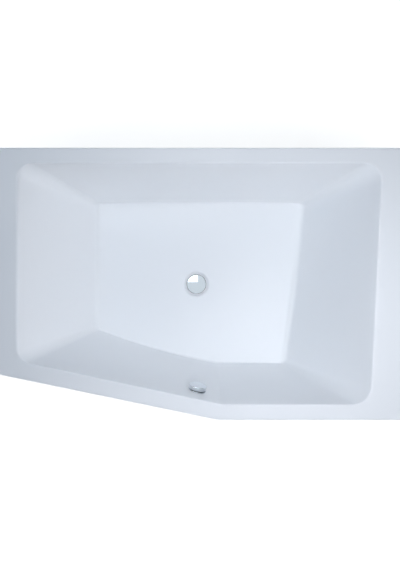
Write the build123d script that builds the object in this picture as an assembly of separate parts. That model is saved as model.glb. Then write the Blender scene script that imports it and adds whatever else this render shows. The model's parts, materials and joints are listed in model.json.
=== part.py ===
"""Built-in acrylic bath with a diagonal front: tub, frame, apron, waste and overflow.

Millimetres. X runs along the back wall to the right, Y towards the back wall, Z up.
The origin is on the floor, below the middle of the bath's bounding box.
"""

from build123d import *
import math
import os

# Overall size
LENGTH = 1500.0
WIDTH = 1000.0
HEIGHT = 600.0
NARROW_END = 830.0
KINK_X = 70.0
DEPTH = 450.0

# Rim: flat widths between the outer edge and the basin
RIM_BACK = 57.0
RIM_FRONT = 59.0
RIM_DIAGONAL = 63.5
RIM_LEFT = 81.5
RIM_RIGHT_BACK = 81.5
RIM_RIGHT_FRONT = 124.0
RIM_KINK_SHIFT = 7.0
LIP_DEPTH = 40.0
OUTER_CORNER_R = 8.0
RIM_EDGE_R = 4.0
BASIN_EDGE_R = 7.0

# Basin walls: how far each runs inwards from the rim to the floor
RUN_BACK = 102.0
RUN_FRONT = 108.0
RUN_DIAGONAL = 92.0
RUN_LEFT = 234.5
RUN_RIGHT_BACK = 230.5
RUN_RIGHT_FRONT = 270.0
RUN_KINK = 5.0

# Corner radii in plan, in the order of the corners, at the rim and at the floor
RIM_RADII = [58.0, 65.0, 73.0, 60.0, 58.0]
FLOOR_RADII = [18.0, 20.0, 23.0, 60.0, 18.0]
# How far the sides of the floor swell outwards: back, right, front, diagonal, left
FLOOR_BULGES = [4.0, 5.0, 0.0, 12.0, 0.0]
FLOOR_FILLET = 15.0
LEAST_CORNER_R = 5.0

# Sheet thicknesses
SHELL_T = 4.0
LAMINATE_T = 3.0
BOARD_T = 16.0
BOARD_INSET = 20.0
LAMINATE_TOP_GAP = 10.0
LAMINATE_SEAT_GAP = 3.0

# Waste seat and waste kit
DRAIN_X = -15.0
DRAIN_Y = 0.0
SEAT_R = 46.0
SEAT_DEPTH = 6.0
DRAIN_HOLE_R = 27.0
SEAL_T = 1.0
LOWER_SEAL_T = 3.0
FLANGE_R = 38.0
FLANGE_T = 2.0
BARREL_R = 25.0
BARREL_BORE_R = 21.0
BARREL_H = 27.0
CAP_R = 41.0
CAP_EDGE_H = 2.5
CAP_DOME_H = 5.5
PLUG_TRAVEL = 10.0
CAP_EDGE_R = 1.0
CAP_SOCKET_H = 4.0
STEM_R = 4.0
STEM_NOSE_R = 1.2
STEM_LENGTH = 46.0
STEM_THREAD = 2.0
CONE_OVERLAP = 1.0
CONE_UNDERCUT = 3.0
PLUG_SEAL_T = 1.2
PLUG_SEAL_OVERLAP = 2.2
FLANGE_CONE = 3.0
FLANGE_CONE_H = 4.0
FLANGE_EDGE = 0.5
HUB_H = 10.0
HUB_WALL = 3.0
HUB_ARM_T = 2.5
CHAMBER_R = 34.0
CHAMBER_H = 52.0
NECK_H = 17.0
MOULDED_T = 3.0
MOULDED_EDGE = 4.0
BODY_FLANGE_T = 4.0
BODY_FLANGE_CONE = 1.0
BOARD_CUT_OUT = 150.0
BOARD_CUT_OUT_R = 20.0

# Lift lever in the waste body
LEVER_ARM = 27.0
LEVER_T = 4.0
LEVER_WIDTH = 7.0
LEVER_SHORT_ARM = 9.0
LEVER_EYE_WALL = 2.5
LEVER_WAIST = 1.5
PIN_R = 2.5
EAR_T = 4.0

# Overflow: place on the diagonal wall, and the kit in its own frame
OVERFLOW_X = -11.0
OVERFLOW_BELOW_RIM = 90.0
OVERFLOW_HOLE_R = 27.0
OVERFLOW_CHAMBER_R = 25.5
OVERFLOW_CHAMBER_H = 34.0
ROSE_R = 34.0
ROSE_T = 3.0
KNOB_R = 36.0
KNOB_T = 14.5
KNOB_GAP = 3.0
KNOB_EDGE_R = 2.0
KNOB_BACK_CHAMFER = 0.8
KNOB_FACE_T = 5.0
KNOB_WALL = 4.0
KNOB_HUB_WALL = 4.0
KNOB_HUB_SETBACK = 2.0
SPINDLE_R = 5.0
SPINDLE_FOOT_H = 4.0
DRUM_R = 13.0
DRUM_H = 12.0
DRUM_GROOVE = 2.0
DRUM_GROOVE_SLOPE = 1.5
DRUM_CLEARANCE = 2.0
WATER_HOLE_R = 4.5
WATER_HOLE_CIRCLE_R = 13.5
OVERFLOW_FLANGE_EDGE = 1.0
LUG_X = 21.5
LUG_R = 3.8
LUG_SCREW_DEPTH = 22.0

# Overflow pipe, cable and trap
PIPE_R = 14.0
PIPE_T = 2.0
PIPE_BEND_R = 45.0
PIPE_STUB = 22.0
PIPE_LEAD_IN = 108.0
PIPE_CLEARANCE = 2.0
PIPE_NUT_LENGTH = 18.0
NUT_WALL = 4.5
NUT_CHAMFER = 1.0
NUT_GRIP_R = 1.5
NUT_GRIP_INSET = 2.0
TRAP_STUB = 14.0
CABLE_BOSS = 10.0
CABLE_BOSS_WALL = 2.5
CABLE_BORE_R = 1.5
CABLE_R = 3.5
CABLE_RUN = 45.0
CABLE_BEND_R = 36.0
CABLE_NUT_WALL = 3.5
CABLE_NUT_LENGTH = 8.0
TRAP_R = 42.0
TRAP_H = 70.0
TRAP_HEADROOM = 3.0
TRAP_FOOT = 8.0
TRAP_FALL = 8.0
TRAP_PIPE_R = 22.0
TRAP_NUT_LENGTH = 20.0
OUTLET_R = 20.0
OUTLET_COLLAR = 10.0
OUTLET_LENGTH = 90.0

# Foot rails and levelling feet
RAIL_WEB = 36.0
RAIL_LIP = 16.0
RAIL_H = 30.0
RAIL_T = 2.0
RAIL_BEND_R = 2.5
RAIL_END_INSET = 12.0
LEFT_RAIL_INSET = 114.0
CENTRE_RAIL_FROM_KINK = 40.0
RIGHT_RAIL_INSET = 51.0
FOOT_FROM_END = 72.0
FOOT_ROD_R = 5.0
FOOT_PAD_R = 26.0
FOOT_PAD_H = 13.0
FOOT_PAD_EDGE = 2.0
FOOT_PAD_RIM_H = 4.0
FOOT_SOCKET_WALL = 4.0
FOOT_SOCKET_H = 5.0
FOOT_TRAVEL = 15.0
FOOT_HEADROOM = 2.0
ROD_CHAMFER = 1.0
NUT_H = 6.0
NUT_R = 9.8

# Screws: shank, bite into the board, head, and how far the tips stand out
SCREW_R = 2.0
SCREW_BITE = 12.0
SCREW_HEAD_R = 4.5
SCREW_HEAD_H = 2.5
SCREW_HEAD_EDGE = 1.0
SCREW_TIP = 4.0

# Front panel and its fixings
PANEL_T = 4.0
PANEL_INSET = 8.0
PANEL_FLOOR_GAP = 18.0
PANEL_RETURN = 22.0
PANEL_END_GAP = SHELL_T + 1.0
PANEL_SCREW_Z = 60.0
CLIP_WIDTH = 40.0
CLIP_T = 3.0
CLIP_LEG = 14.0
CLIP_BEND_R = 1.6
CLIPS_ON_DIAGONAL = (0.12, 0.5, 0.88)
CLIPS_ON_FRONT = (0.12, 0.85)

# Rim supports: bars from the outer rails up to the rim, and their tabs to the panel
SUPPORTED = ["left", "right"]
SUPPORT_WIDTH = 30.0
SUPPORT_T = 4.0
SUPPORT_BEND_R = 6.0
SUPPORT_SETBACK = 38.0
SUPPORT_HOLD = 45.0
SUPPORT_TOE_GAP = 6.0
SUPPORT_PAD_INSET = 4.0
TAB_BEND_R = 4.0
TAB_BELOW_SCREW = 15.0
BOLT_R = 4.0
BOLT_FROM_END = 20.0
BOLT_HEAD_R = 6.8
BOLT_OVERRUN = 2.0

# Wall brackets
BRACKET_X = 450.0
BRACKET_WIDTH = 50.0
BRACKET_LEG = 40.0
BRACKET_T = 3.0
BRACKET_BEND_R = 2.0
BRACKET_PAD_T = 2.0
WALL_SCREW_R = 3.5

# Fits
SLIP = 0.05
GAP = 0.3

# Levels that follow from the sizes above
RIM_Z = HEIGHT
DECK_Z = RIM_Z - SHELL_T
LIP_Z = RIM_Z - LIP_DEPTH
FLOOR_Z = RIM_Z - DEPTH
SHELL_UNDER = FLOOR_Z - SHELL_T
LAMINATE_UNDER = SHELL_UNDER - LAMINATE_T
BOARD_UNDER = LAMINATE_UNDER - BOARD_T
SEAT_Z = FLOOR_Z - SEAT_DEPTH
SEAT_UNDER = SEAT_Z - SHELL_T
FLANGE_Z = SEAT_Z + SEAL_T
WASTE_TOP = SEAT_UNDER - LOWER_SEAL_T
WASTE_NECK = WASTE_TOP - NECK_H
WASTE_BOTTOM = WASTE_NECK - CHAMBER_H
RAIL_UNDER = BOARD_UNDER - RAIL_H

# Where the rails lie along X: the outer two keep to the ends of the board
RAIL_X = {
    "left": -LENGTH / 2 + RIM_LEFT + RUN_LEFT + BOARD_INSET + LEFT_RAIL_INSET,
    "centre": KINK_X + CENTRE_RAIL_FROM_KINK,
    "right": LENGTH / 2 - RIM_RIGHT_FRONT - RUN_RIGHT_FRONT - BOARD_INSET - RIGHT_RAIL_INSET,
}

# How far behind the front edge the toes of the rim supports end
SUPPORT_TOE_Y = PANEL_INSET + PANEL_T + CLIP_T + SUPPORT_TOE_GAP

# Sides of every outline, by number
BACK, RIGHT, FRONT, DIAGONAL, LEFT = range(5)


def moved_sides(corners, amounts):
    """The corners of an outline after each side has moved outwards by its amount."""
    lines = []
    for start, end, amount in zip(corners, corners[1:] + corners[:1], amounts):
        along = (end - start).normalized()
        outward = Vector(-along.Y, along.X)
        lines.append((start + outward * amount, along))
    crossings = []
    for number, (point, along) in enumerate(lines):
        before, direction = lines[number - 1]
        reach = (point - before).cross(along).Z / direction.cross(along).Z
        crossings.append(before + direction * reach)
    return crossings


def outer_corners():
    """Corners of the rim's outer edge: clockwise from back left."""
    return [
        Vector(-LENGTH / 2, WIDTH / 2),
        Vector(LENGTH / 2, WIDTH / 2),
        Vector(LENGTH / 2, -WIDTH / 2),
        Vector(KINK_X, -WIDTH / 2),
        Vector(-LENGTH / 2, WIDTH / 2 - NARROW_END),
    ]


def basin_corners():
    """Corners of the basin at the rim and at the floor."""
    rims = [-RIM_BACK, -RIM_RIGHT_BACK, -RIM_FRONT, -RIM_DIAGONAL, -RIM_LEFT]
    rim = moved_sides(outer_corners(), rims)
    rim[FRONT] = rim[FRONT] - Vector(RIM_RIGHT_FRONT - RIM_RIGHT_BACK, 0)
    rim[DIAGONAL] = Vector(KINK_X + RIM_KINK_SHIFT, rim[DIAGONAL].Y)
    runs = [
        Vector(RUN_LEFT, -RUN_BACK),
        Vector(-RUN_RIGHT_BACK, -RUN_BACK),
        Vector(-RUN_RIGHT_FRONT, RUN_FRONT),
        Vector(-RUN_KINK, RUN_FRONT),
        Vector(RUN_LEFT, RUN_DIAGONAL),
    ]
    floor = [corner + run for corner, run in zip(rim, runs)]
    return rim, floor


def rounded_face(corners, radii, bulges, z):
    """A level face whose sides swell by their bulges and whose corners are rounded."""
    edges = []
    for start, end, bulge in zip(corners, corners[1:] + corners[:1], bulges):
        if bulge:
            along = (end - start).normalized()
            middle = (start + end) / 2 + Vector(-along.Y, along.X) * bulge
            edges.append(Edge.make_three_point_arc(start, middle, end))
        else:
            edges.append(Edge.make_line(start, end))
    face = Face(Wire(edges))
    for corner, radius in zip(corners, radii):
        vertex = min(face.vertices(), key=lambda v: (Vector(*v) - corner).length)
        face = face.fillet_2d(radius, [vertex])
    return face.moved(Location((0, 0, z)))


def basin_section(z, grow=0.0):
    """The basin's outline at a height, moved outwards by grow."""
    part_way = (RIM_Z - z) / DEPTH
    rim, floor = basin_corners()
    corners = [a + (b - a) * part_way for a, b in zip(rim, floor)]
    radii = [a + (b - a) * part_way + grow for a, b in zip(RIM_RADII, FLOOR_RADII)]
    radii = [max(radius, LEAST_CORNER_R) for radius in radii]
    bulges = [bulge * part_way for bulge in FLOOR_BULGES]
    return rounded_face(moved_sides(corners, [grow] * 5), radii, bulges, z)


def basin_solid(top, bottom, grow, fillet_r):
    """The basin as a filled solid between two heights, with a rounded foot."""
    sections = [basin_section(top, grow), basin_section(bottom, grow)]
    solid = Solid.make_loft([face.outer_wire() for face in sections], ruled=True)
    foot = solid.faces().sort_by(Axis.Z)[0].edges()
    return fillet(foot, fillet_r)


def across_wall(thickness):
    """A sheet's thickness measured level through the sloping end wall."""
    return thickness / math.cos(math.atan2(RUN_LEFT, DEPTH))


def upright(face, low, high):
    """A level face as a solid between two heights."""
    return extrude(face.moved(Location((0, 0, low - face.center().Z))), high - low, dir=(0, 0, 1))


def turned(*points):
    """A solid turned about Z from radius and height pairs."""
    profile = make_face(Polyline(*[(radius, 0, z) for radius, z in points], close=True))
    return revolve(profile, Axis.Z)


def sheet_profile(points, bend_r, thickness):
    """The section of a bent sheet from the points of its middle line."""
    return trace(FilletPolyline(*points, radius=bend_r), thickness)


def hex_nut(bore_r):
    """A hexagon nut standing on Z = 0."""
    nut = extrude(RegularPolygon(NUT_R, 6), NUT_H)
    return nut - Pos(0, 0, NUT_H / 2) * Cylinder(bore_r, 2 * NUT_H)


def group(shapes):
    """Separate solids that share a node."""
    return Compound(children=[solid for shape in shapes for solid in shape.solids()])


AT_DRAIN = Pos(DRAIN_X, DRAIN_Y, 0)


def overflow_plane():
    """On the inside of the diagonal wall: Z into the basin, Y up the wall."""
    height = RIM_Z - OVERFLOW_BELOW_RIM
    ray = Axis((OVERFLOW_X, 0, height), (0, -1, 0))
    basin = basin_solid(RIM_Z, FLOOR_Z, 0, FLOOR_FILLET)
    hits = [hit for face in basin.faces() for hit in face.find_intersection_points(ray)]
    point, outward = min(hits, key=lambda hit: hit[0].Y)
    inward = -outward
    return Plane(origin=point, x_dir=Vector(0, 0, 1).cross(inward), z_dir=inward)


OVERFLOW = overflow_plane()
AT_OVERFLOW = OVERFLOW.location
OVERFLOW_LEAN = math.hypot(OVERFLOW.z_dir.X, OVERFLOW.z_dir.Y)

# Levels of the overflow kit along the normal of the wall
WALL_BACK = -across_wall(SHELL_T + LAMINATE_T) * OVERFLOW_LEAN - GAP
OVERFLOW_SEAL_BACK = WALL_BACK - LOWER_SEAL_T
CHAMBER_BACK = OVERFLOW_SEAL_BACK - OVERFLOW_CHAMBER_H
STUB_DEPTH = OVERFLOW_SEAL_BACK - OVERFLOW_CHAMBER_H / 2
LUG_TOP = WALL_BACK / 2
ROSE_BACK = GAP + SEAL_T
ROSE_FRONT = ROSE_BACK + ROSE_T
KNOB_BACK = ROSE_FRONT + KNOB_GAP

# Levels of the waste kit
CAP_Z = FLANGE_Z + FLANGE_T + SEAL_T
STEM_END = FLANGE_Z - STEM_LENGTH
SWING = math.asin(PLUG_TRAVEL / 2 / LEVER_ARM)
TIP_R = LEVER_T / 2
PIVOT_Z = STEM_END - GAP - TIP_R + LEVER_ARM * math.sin(SWING)
PIPE_Z = WASTE_NECK - MOULDED_T - TRAP_PIPE_R - PIPE_CLEARANCE
CABLE_Z = PIVOT_Z + LEVER_SHORT_ARM
INLET_END = -(CHAMBER_R + MOULDED_T + PIPE_STUB)
OUTLET_START = CHAMBER_R + MOULDED_T + PIPE_STUB
TRAP_Y = OUTLET_START + TRAP_STUB + TRAP_R
TAIL_Y = TRAP_Y + TRAP_R + TRAP_STUB
OUTLET_Z = PIPE_Z - TRAP_FALL
CABLE_BOSS_END = CHAMBER_R + MOULDED_T + CABLE_BOSS
OVERFLOW_STUB_END = -(OVERFLOW_CHAMBER_R + MOULDED_T + PIPE_STUB)
OVERFLOW_BOSS_END = -(OVERFLOW_CHAMBER_R + MOULDED_T + CABLE_BOSS)


def tube_between(start, end, radius):
    """A straight rod from one point to another."""
    start, end = Vector(start), Vector(end)
    section = Plane(origin=start, z_dir=end - start) * Circle(radius)
    return extrude(section, (end - start).length, dir=(end - start).normalized())


def ring(bore_r, outer_r, length):
    """A union nut or seal standing on Z = 0."""
    return Pos(0, 0, length / 2) * (Cylinder(outer_r, length) - Cylinder(bore_r, length))


def union_nut(bore_r, length):
    """A moulded union nut with grips, standing on Z = 0."""
    outer_r = bore_r + NUT_WALL
    nut = Pos(0, 0, length / 2) * Cylinder(outer_r, length)
    nut = chamfer(nut.edges(), NUT_CHAMFER)
    grip = Pos(outer_r, 0, length / 2) * Cylinder(NUT_GRIP_R, length - 2 * NUT_GRIP_INSET)
    nut += [Rot(0, 0, 60 * turn) * grip for turn in range(6)]
    return nut - Pos(0, 0, length / 2) * Cylinder(bore_r, 2 * length)


def shell_solid():
    """The acrylic sheet before its openings, filled inside."""
    basin = basin_solid(RIM_Z, SHELL_UNDER, across_wall(SHELL_T), FLOOR_FILLET + SHELL_T)
    foot_r = SEAT_R + SHELL_T
    top_r = foot_r + SEAT_DEPTH
    seat = turned((0, SEAT_UNDER), (foot_r, SEAT_UNDER), (top_r, SHELL_UNDER), (top_r, FLOOR_Z), (0, FLOOR_Z))
    return basin + AT_DRAIN * seat


def seat_recess():
    """The shallow dish that the waste cap sits in, with its soft edge."""
    top_r = SEAT_R + SEAT_DEPTH
    dish = turned((0, SEAT_Z), (SEAT_R, SEAT_Z), (top_r, FLOOR_Z), (top_r, RIM_Z), (0, RIM_Z))
    return AT_DRAIN * dish


def tub_shell():
    """The thermoformed acrylic sheet: rim, lip, walls, floor and waste seat."""
    corners = outer_corners()
    rim_face = rounded_face(corners, [OUTER_CORNER_R] * 5, [0] * 5, LIP_Z)
    rim = upright(rim_face, LIP_Z, RIM_Z)
    rim = fillet(rim.faces().sort_by(Axis.Z)[-1].edges(), RIM_EDGE_R)
    inner = moved_sides(corners, [-SHELL_T] * 5)
    pocket = rounded_face(inner, [OUTER_CORNER_R - SHELL_T] * 5, [0] * 5, LIP_Z)
    shell = rim - upright(pocket, LIP_Z, DECK_Z) + shell_solid()
    shell -= basin_solid(RIM_Z, FLOOR_Z, 0, FLOOR_FILLET)
    mouth = shell.faces().sort_by(Axis.Z)[-1].inner_wires()[0].edges()
    shell = fillet(mouth, BASIN_EDGE_R)
    shell -= seat_recess()
    soft = [edge for edge in shell.edges().filter_by(GeomType.CIRCLE) if on_seat_edge(edge)]
    shell = fillet(soft, SEAT_DEPTH / 3)
    shell -= AT_DRAIN * Pos(0, 0, SEAT_Z) * Cylinder(DRAIN_HOLE_R, 4 * SEAT_DEPTH)
    return shell - AT_OVERFLOW * Cylinder(OVERFLOW_HOLE_R, 4 * OVERFLOW_CHAMBER_H)


def on_seat_edge(edge):
    """Whether an edge is the upper or lower rim of the waste seat."""
    level = edge.center(CenterOf.BOUNDING_BOX)
    on_axis = math.hypot(level.X - DRAIN_X, level.Y - DRAIN_Y) < SLIP
    return on_axis and SEAT_Z - SLIP < level.Z < FLOOR_Z + SLIP


def laminate_backing():
    """The glass-reinforced skin on the outside of the walls and below the floor."""
    thickness = SHELL_T + LAMINATE_T
    top = DECK_Z - LAMINATE_TOP_GAP
    skin = basin_solid(top, LAMINATE_UNDER, across_wall(thickness), FLOOR_FILLET + thickness)
    skin -= shell_solid()
    opening = SEAT_R + SEAT_DEPTH + SHELL_T + LAMINATE_SEAT_GAP
    skin -= AT_DRAIN * Pos(0, 0, SHELL_UNDER) * Cylinder(opening, 4 * LAMINATE_T)
    return skin - AT_OVERFLOW * Cylinder(OVERFLOW_HOLE_R, 4 * OVERFLOW_CHAMBER_H)


def base_board():
    """The chipboard bonded under the floor, cut out round the waste."""
    board = upright(basin_section(FLOOR_Z, -BOARD_INSET), BOARD_UNDER, LAMINATE_UNDER)
    cut_out = extrude(RectangleRounded(BOARD_CUT_OUT, BOARD_CUT_OUT, BOARD_CUT_OUT_R), BOARD_T)
    board -= AT_DRAIN * Pos(0, 0, BOARD_UNDER) * cut_out
    for x, y in rail_screw_places():
        board -= Pos(x, y, BOARD_UNDER) * Cylinder(SCREW_R + SLIP, 2 * SCREW_BITE)
    return board


def rail_ends(x):
    """Front and back end of the rail at x, inside the edge of the board."""
    floor = moved_sides(basin_corners()[1], [-BOARD_INSET] * 5)
    reach = RAIL_WEB / 2 + RAIL_LIP
    kink = floor[DIAGONAL]
    fronts = []
    for edge_x in (x - reach, x + reach):
        other = floor[LEFT] if edge_x < kink.X else floor[FRONT]
        slope = (other.Y - kink.Y) / (other.X - kink.X)
        fronts.append(kink.Y + slope * (edge_x - kink.X))
    return max(fronts) + RAIL_END_INSET, floor[BACK].Y - RAIL_END_INSET


def foot_places():
    """Where the six feet stand, by name."""
    places = {}
    for name, x in RAIL_X.items():
        front, back = rail_ends(x)
        places[name + "_front"] = (x, front + FOOT_FROM_END)
        places[name + "_back"] = (x, back - FOOT_FROM_END)
    return places


def rail_screw_places():
    """Where the rails are screwed to the board, three on each lip."""
    side = (RAIL_WEB + RAIL_LIP) / 2
    places = []
    for x in RAIL_X.values():
        front, back = rail_ends(x)
        for y in (front + RAIL_LIP, (front + back) / 2 + BOARD_CUT_OUT / 3, back - RAIL_LIP):
            places += [(x - side, y), (x + side, y)]
    return places


def support_frame(name):
    """Under the rim at the front of a rail, and how far the rail's hold lies inwards."""
    x = RAIL_X[name]
    hold = Vector(x, rail_ends(x)[0] + SUPPORT_HOLD)
    corners = outer_corners()
    if x < KINK_X:
        start, end = corners[LEFT], corners[DIAGONAL]
    else:
        start, end = corners[DIAGONAL], corners[FRONT]
    along = (end - start).normalized()
    foot = start + along * (hold - start).dot(along)
    turn = math.degrees(math.atan2(along.Y, along.X))
    return Pos(foot.X, foot.Y, 0) * Rot(0, 0, turn), (hold - foot).length


def rail(name):
    """A galvanised hat section with its lips up against the board."""
    x = RAIL_X[name]
    front, back = rail_ends(x)
    side = (RAIL_WEB - RAIL_T) / 2
    lip_z = BOARD_UNDER - RAIL_T / 2
    web_z = RAIL_UNDER + RAIL_T / 2
    lip_x = RAIL_WEB / 2 + RAIL_LIP
    half = [(lip_x, lip_z), (side, lip_z), (side, web_z)]
    line = [(-u, v) for u, v in half] + half[::-1]
    profile = Plane.XZ * sheet_profile(line, RAIL_BEND_R, RAIL_T)
    beam = Pos(x, front, 0) * extrude(profile, back - front, dir=(0, 1, 0))
    for place, (foot_x, foot_y) in foot_places().items():
        if place.startswith(name):
            beam -= Pos(foot_x, foot_y, RAIL_UNDER) * Cylinder(FOOT_ROD_R + SLIP, 4 * RAIL_T)
    for screw_x, screw_y in rail_screw_places():
        if abs(screw_x - x) < lip_x:
            beam -= Pos(screw_x, screw_y, BOARD_UNDER) * Cylinder(SCREW_R + GAP, 4 * RAIL_T)
    if name in SUPPORTED:
        hole = Pos(0, 0, RAIL_UNDER) * Cylinder(BOLT_R + SLIP, 4 * RAIL_T)
        beam -= support_bolt_place(name) * hole
    return beam


def support_bolt_place(name):
    """The axis of the bolt that holds a rim support under its rail."""
    frame, reach = support_frame(name)
    return frame * Pos(0, reach - BOLT_FROM_END, 0)


def rail_screws():
    """Pan-head screws up through the lips of the rails."""
    head_z = BOARD_UNDER - RAIL_T
    screw = turned(
        (0, head_z - SCREW_HEAD_H),
        (SCREW_HEAD_R - SCREW_HEAD_EDGE, head_z - SCREW_HEAD_H),
        (SCREW_HEAD_R, head_z - SCREW_HEAD_H / 2),
        (SCREW_HEAD_R, head_z),
        (SCREW_R, head_z),
        (SCREW_R, BOARD_UNDER + SCREW_BITE - SCREW_R),
        (0, BOARD_UNDER + SCREW_BITE - SLIP),
    )
    return group([Pos(x, y, 0) * screw for x, y in rail_screw_places()])


def foot_lock_nuts():
    """One hexagon nut above and one below the web of each rail, at each foot."""
    nuts = []
    for x, y in foot_places().values():
        nuts.append(Pos(x, y, RAIL_UNDER - NUT_H) * hex_nut(FOOT_ROD_R + SLIP))
        nuts.append(Pos(x, y, RAIL_UNDER + RAIL_T) * hex_nut(FOOT_ROD_R + SLIP))
    return group(nuts)


def foot_rod(place):
    """The threaded rod of a foot."""
    x, y = foot_places()[place]
    top = BOARD_UNDER - FOOT_TRAVEL - FOOT_HEADROOM
    bottom = FOOT_PAD_H / 2
    rod = turned(
        (0, bottom),
        (FOOT_ROD_R, bottom),
        (FOOT_ROD_R, top - ROD_CHAMFER),
        (FOOT_ROD_R - ROD_CHAMFER, top),
        (0, top),
    )
    return Pos(x, y, 0) * rod


def foot_pad(place):
    """The moulded pad of a foot, with a socket for its rod."""
    x, y = foot_places()[place]
    socket_r = FOOT_ROD_R + FOOT_SOCKET_WALL
    pad = turned(
        (0, 0),
        (FOOT_PAD_R - FOOT_PAD_EDGE, 0),
        (FOOT_PAD_R, FOOT_PAD_EDGE),
        (FOOT_PAD_R, FOOT_PAD_RIM_H),
        (socket_r + FOOT_SOCKET_WALL, FOOT_PAD_H - FOOT_SOCKET_H),
        (socket_r, FOOT_PAD_H),
        (FOOT_ROD_R + SLIP, FOOT_PAD_H),
        (FOOT_ROD_R + SLIP, FOOT_PAD_H / 2),
        (0, FOOT_PAD_H / 2),
    )
    return Pos(x, y, 0) * pad


def rim_supports():
    """Bent flat bars from the rails to the rim, each with a tab down to the panel."""
    supports = []
    for name in SUPPORTED:
        frame, reach = support_frame(name)
        arm_z = RAIL_UNDER - SUPPORT_T / 2
        bar_y = SUPPORT_SETBACK + SUPPORT_T / 2
        top_z = DECK_Z - BRACKET_PAD_T - SUPPORT_T / 2
        bar_line = [(reach, arm_z), (bar_y, arm_z), (bar_y, top_z), (SUPPORT_TOE_Y, top_z)]
        bar = sheet_profile(bar_line, SUPPORT_BEND_R, SUPPORT_T)
        tab_y = PANEL_INSET + PANEL_T + SUPPORT_T / 2
        tab_z = arm_z - SUPPORT_T
        tab_line = [(bar_y + SUPPORT_WIDTH, tab_z), (tab_y, tab_z), (tab_y, PANEL_SCREW_Z - TAB_BELOW_SCREW)]
        tab = sheet_profile(tab_line, TAB_BEND_R, SUPPORT_T)
        solids = [extrude(Plane.YZ * shape, SUPPORT_WIDTH / 2, both=True) for shape in (bar, tab)]
        support = frame * (solids[0] + solids[1])
        support -= support_bolt_place(name) * Pos(0, 0, arm_z) * Cylinder(BOLT_R + SLIP, 3 * SUPPORT_T)
        hole = Pos(0, tab_y, PANEL_SCREW_Z) * Rot(90, 0, 0) * Cylinder(SCREW_R + SLIP, 3 * SUPPORT_T)
        supports.append(support - frame * hole)
    return group(supports)


def support_bolts():
    """The bolt and nut that hold each rim support under its rail."""
    bolts = []
    for name in SUPPORTED:
        head_z = RAIL_UNDER - SUPPORT_T
        nut_z = RAIL_UNDER + RAIL_T
        shank = Pos(0, 0, head_z) * extrude(Circle(BOLT_R), nut_z - head_z + NUT_H + BOLT_OVERRUN)
        hexagon = extrude(RegularPolygon(BOLT_HEAD_R, 6), NUT_H)
        bolt = shank + Pos(0, 0, head_z - NUT_H) * hexagon
        nut = hexagon - Pos(0, 0, NUT_H / 2) * Cylinder(BOLT_R + SLIP, 2 * NUT_H)
        bolts += [support_bolt_place(name) * shape for shape in (bolt, Pos(0, 0, nut_z) * nut)]
    return group(bolts)


def support_pads():
    """Soft pads between the supports and the underside of the rim."""
    pads = []
    for name in SUPPORTED:
        frame, _ = support_frame(name)
        depth = SUPPORT_SETBACK - SUPPORT_TOE_Y - SUPPORT_PAD_INSET
        place = frame * Pos(0, SUPPORT_TOE_Y + depth / 2, DECK_Z - BRACKET_PAD_T / 2)
        pads.append(place * Box(SUPPORT_WIDTH, depth, BRACKET_PAD_T))
    return group(pads)


def front_line(inset):
    """Left end, kink and right end of the line that runs inset behind the front edge."""
    amounts = [0, -PANEL_END_GAP, -inset, -inset, -PANEL_END_GAP]
    corners = moved_sides(outer_corners(), amounts)
    return [corners[LEFT], corners[DIAGONAL], corners[FRONT]]


def front_band(near, far, low, high):
    """A wall that follows the front edge between two insets."""
    outline = front_line(near) + front_line(far)[::-1]
    face = make_face(Polyline(*[(point.X, point.Y) for point in outline], close=True))
    return upright(face, low, high)


def front_panel():
    """The apron: one bent sheet on the diagonal and front sides, with a return at its foot."""
    top = DECK_Z - CLIP_T - GAP
    low = PANEL_FLOOR_GAP
    panel = front_band(PANEL_INSET, PANEL_INSET + PANEL_T, low, top)
    panel += front_band(PANEL_INSET, PANEL_INSET + PANEL_RETURN, low, low + PANEL_T)
    hole = Pos(0, PANEL_INSET, PANEL_SCREW_Z) * Rot(90, 0, 0) * Cylinder(SCREW_R + SLIP, 3 * PANEL_T)
    for name in SUPPORTED:
        frame, _ = support_frame(name)
        panel -= frame * hole
    return panel


def panel_screws():
    """Round-head screws that hold the foot of the panel to the tabs."""
    length = PANEL_T + SUPPORT_T + SCREW_TIP
    screw = turned(
        (0, -SCREW_HEAD_H),
        (SCREW_HEAD_R / 2, -SCREW_HEAD_H),
        (SCREW_HEAD_R, -SCREW_HEAD_H / 3),
        (SCREW_HEAD_R, 0),
        (SCREW_R, 0),
        (SCREW_R, length - SCREW_R),
        (0, length),
    )
    screw = Pos(0, PANEL_INSET, PANEL_SCREW_Z) * Rot(-90, 0, 0) * screw
    return group([support_frame(name)[0] * screw for name in SUPPORTED])


def panel_clips():
    """U-clips under the rim that the top edge of the panel pushes into."""
    near = PANEL_INSET - GAP - CLIP_T / 2
    far = PANEL_INSET + PANEL_T + GAP + CLIP_T / 2
    top = DECK_Z - CLIP_T / 2
    foot = top - CLIP_LEG
    profile = sheet_profile([(near, foot), (near, top), (far, top), (far, foot)], CLIP_BEND_R, CLIP_T)
    clip = extrude(Plane.YZ * profile, CLIP_WIDTH / 2, both=True)
    left, kink, right = front_line(0)
    clips = []
    for start, end, shares in ((left, kink, CLIPS_ON_DIAGONAL), (kink, right, CLIPS_ON_FRONT)):
        turn = math.degrees(math.atan2((end - start).Y, (end - start).X))
        for share in shares:
            place = start + (end - start) * share
            clips.append(Pos(place.X, place.Y, 0) * Rot(0, 0, turn) * clip)
    return group(clips)


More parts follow.
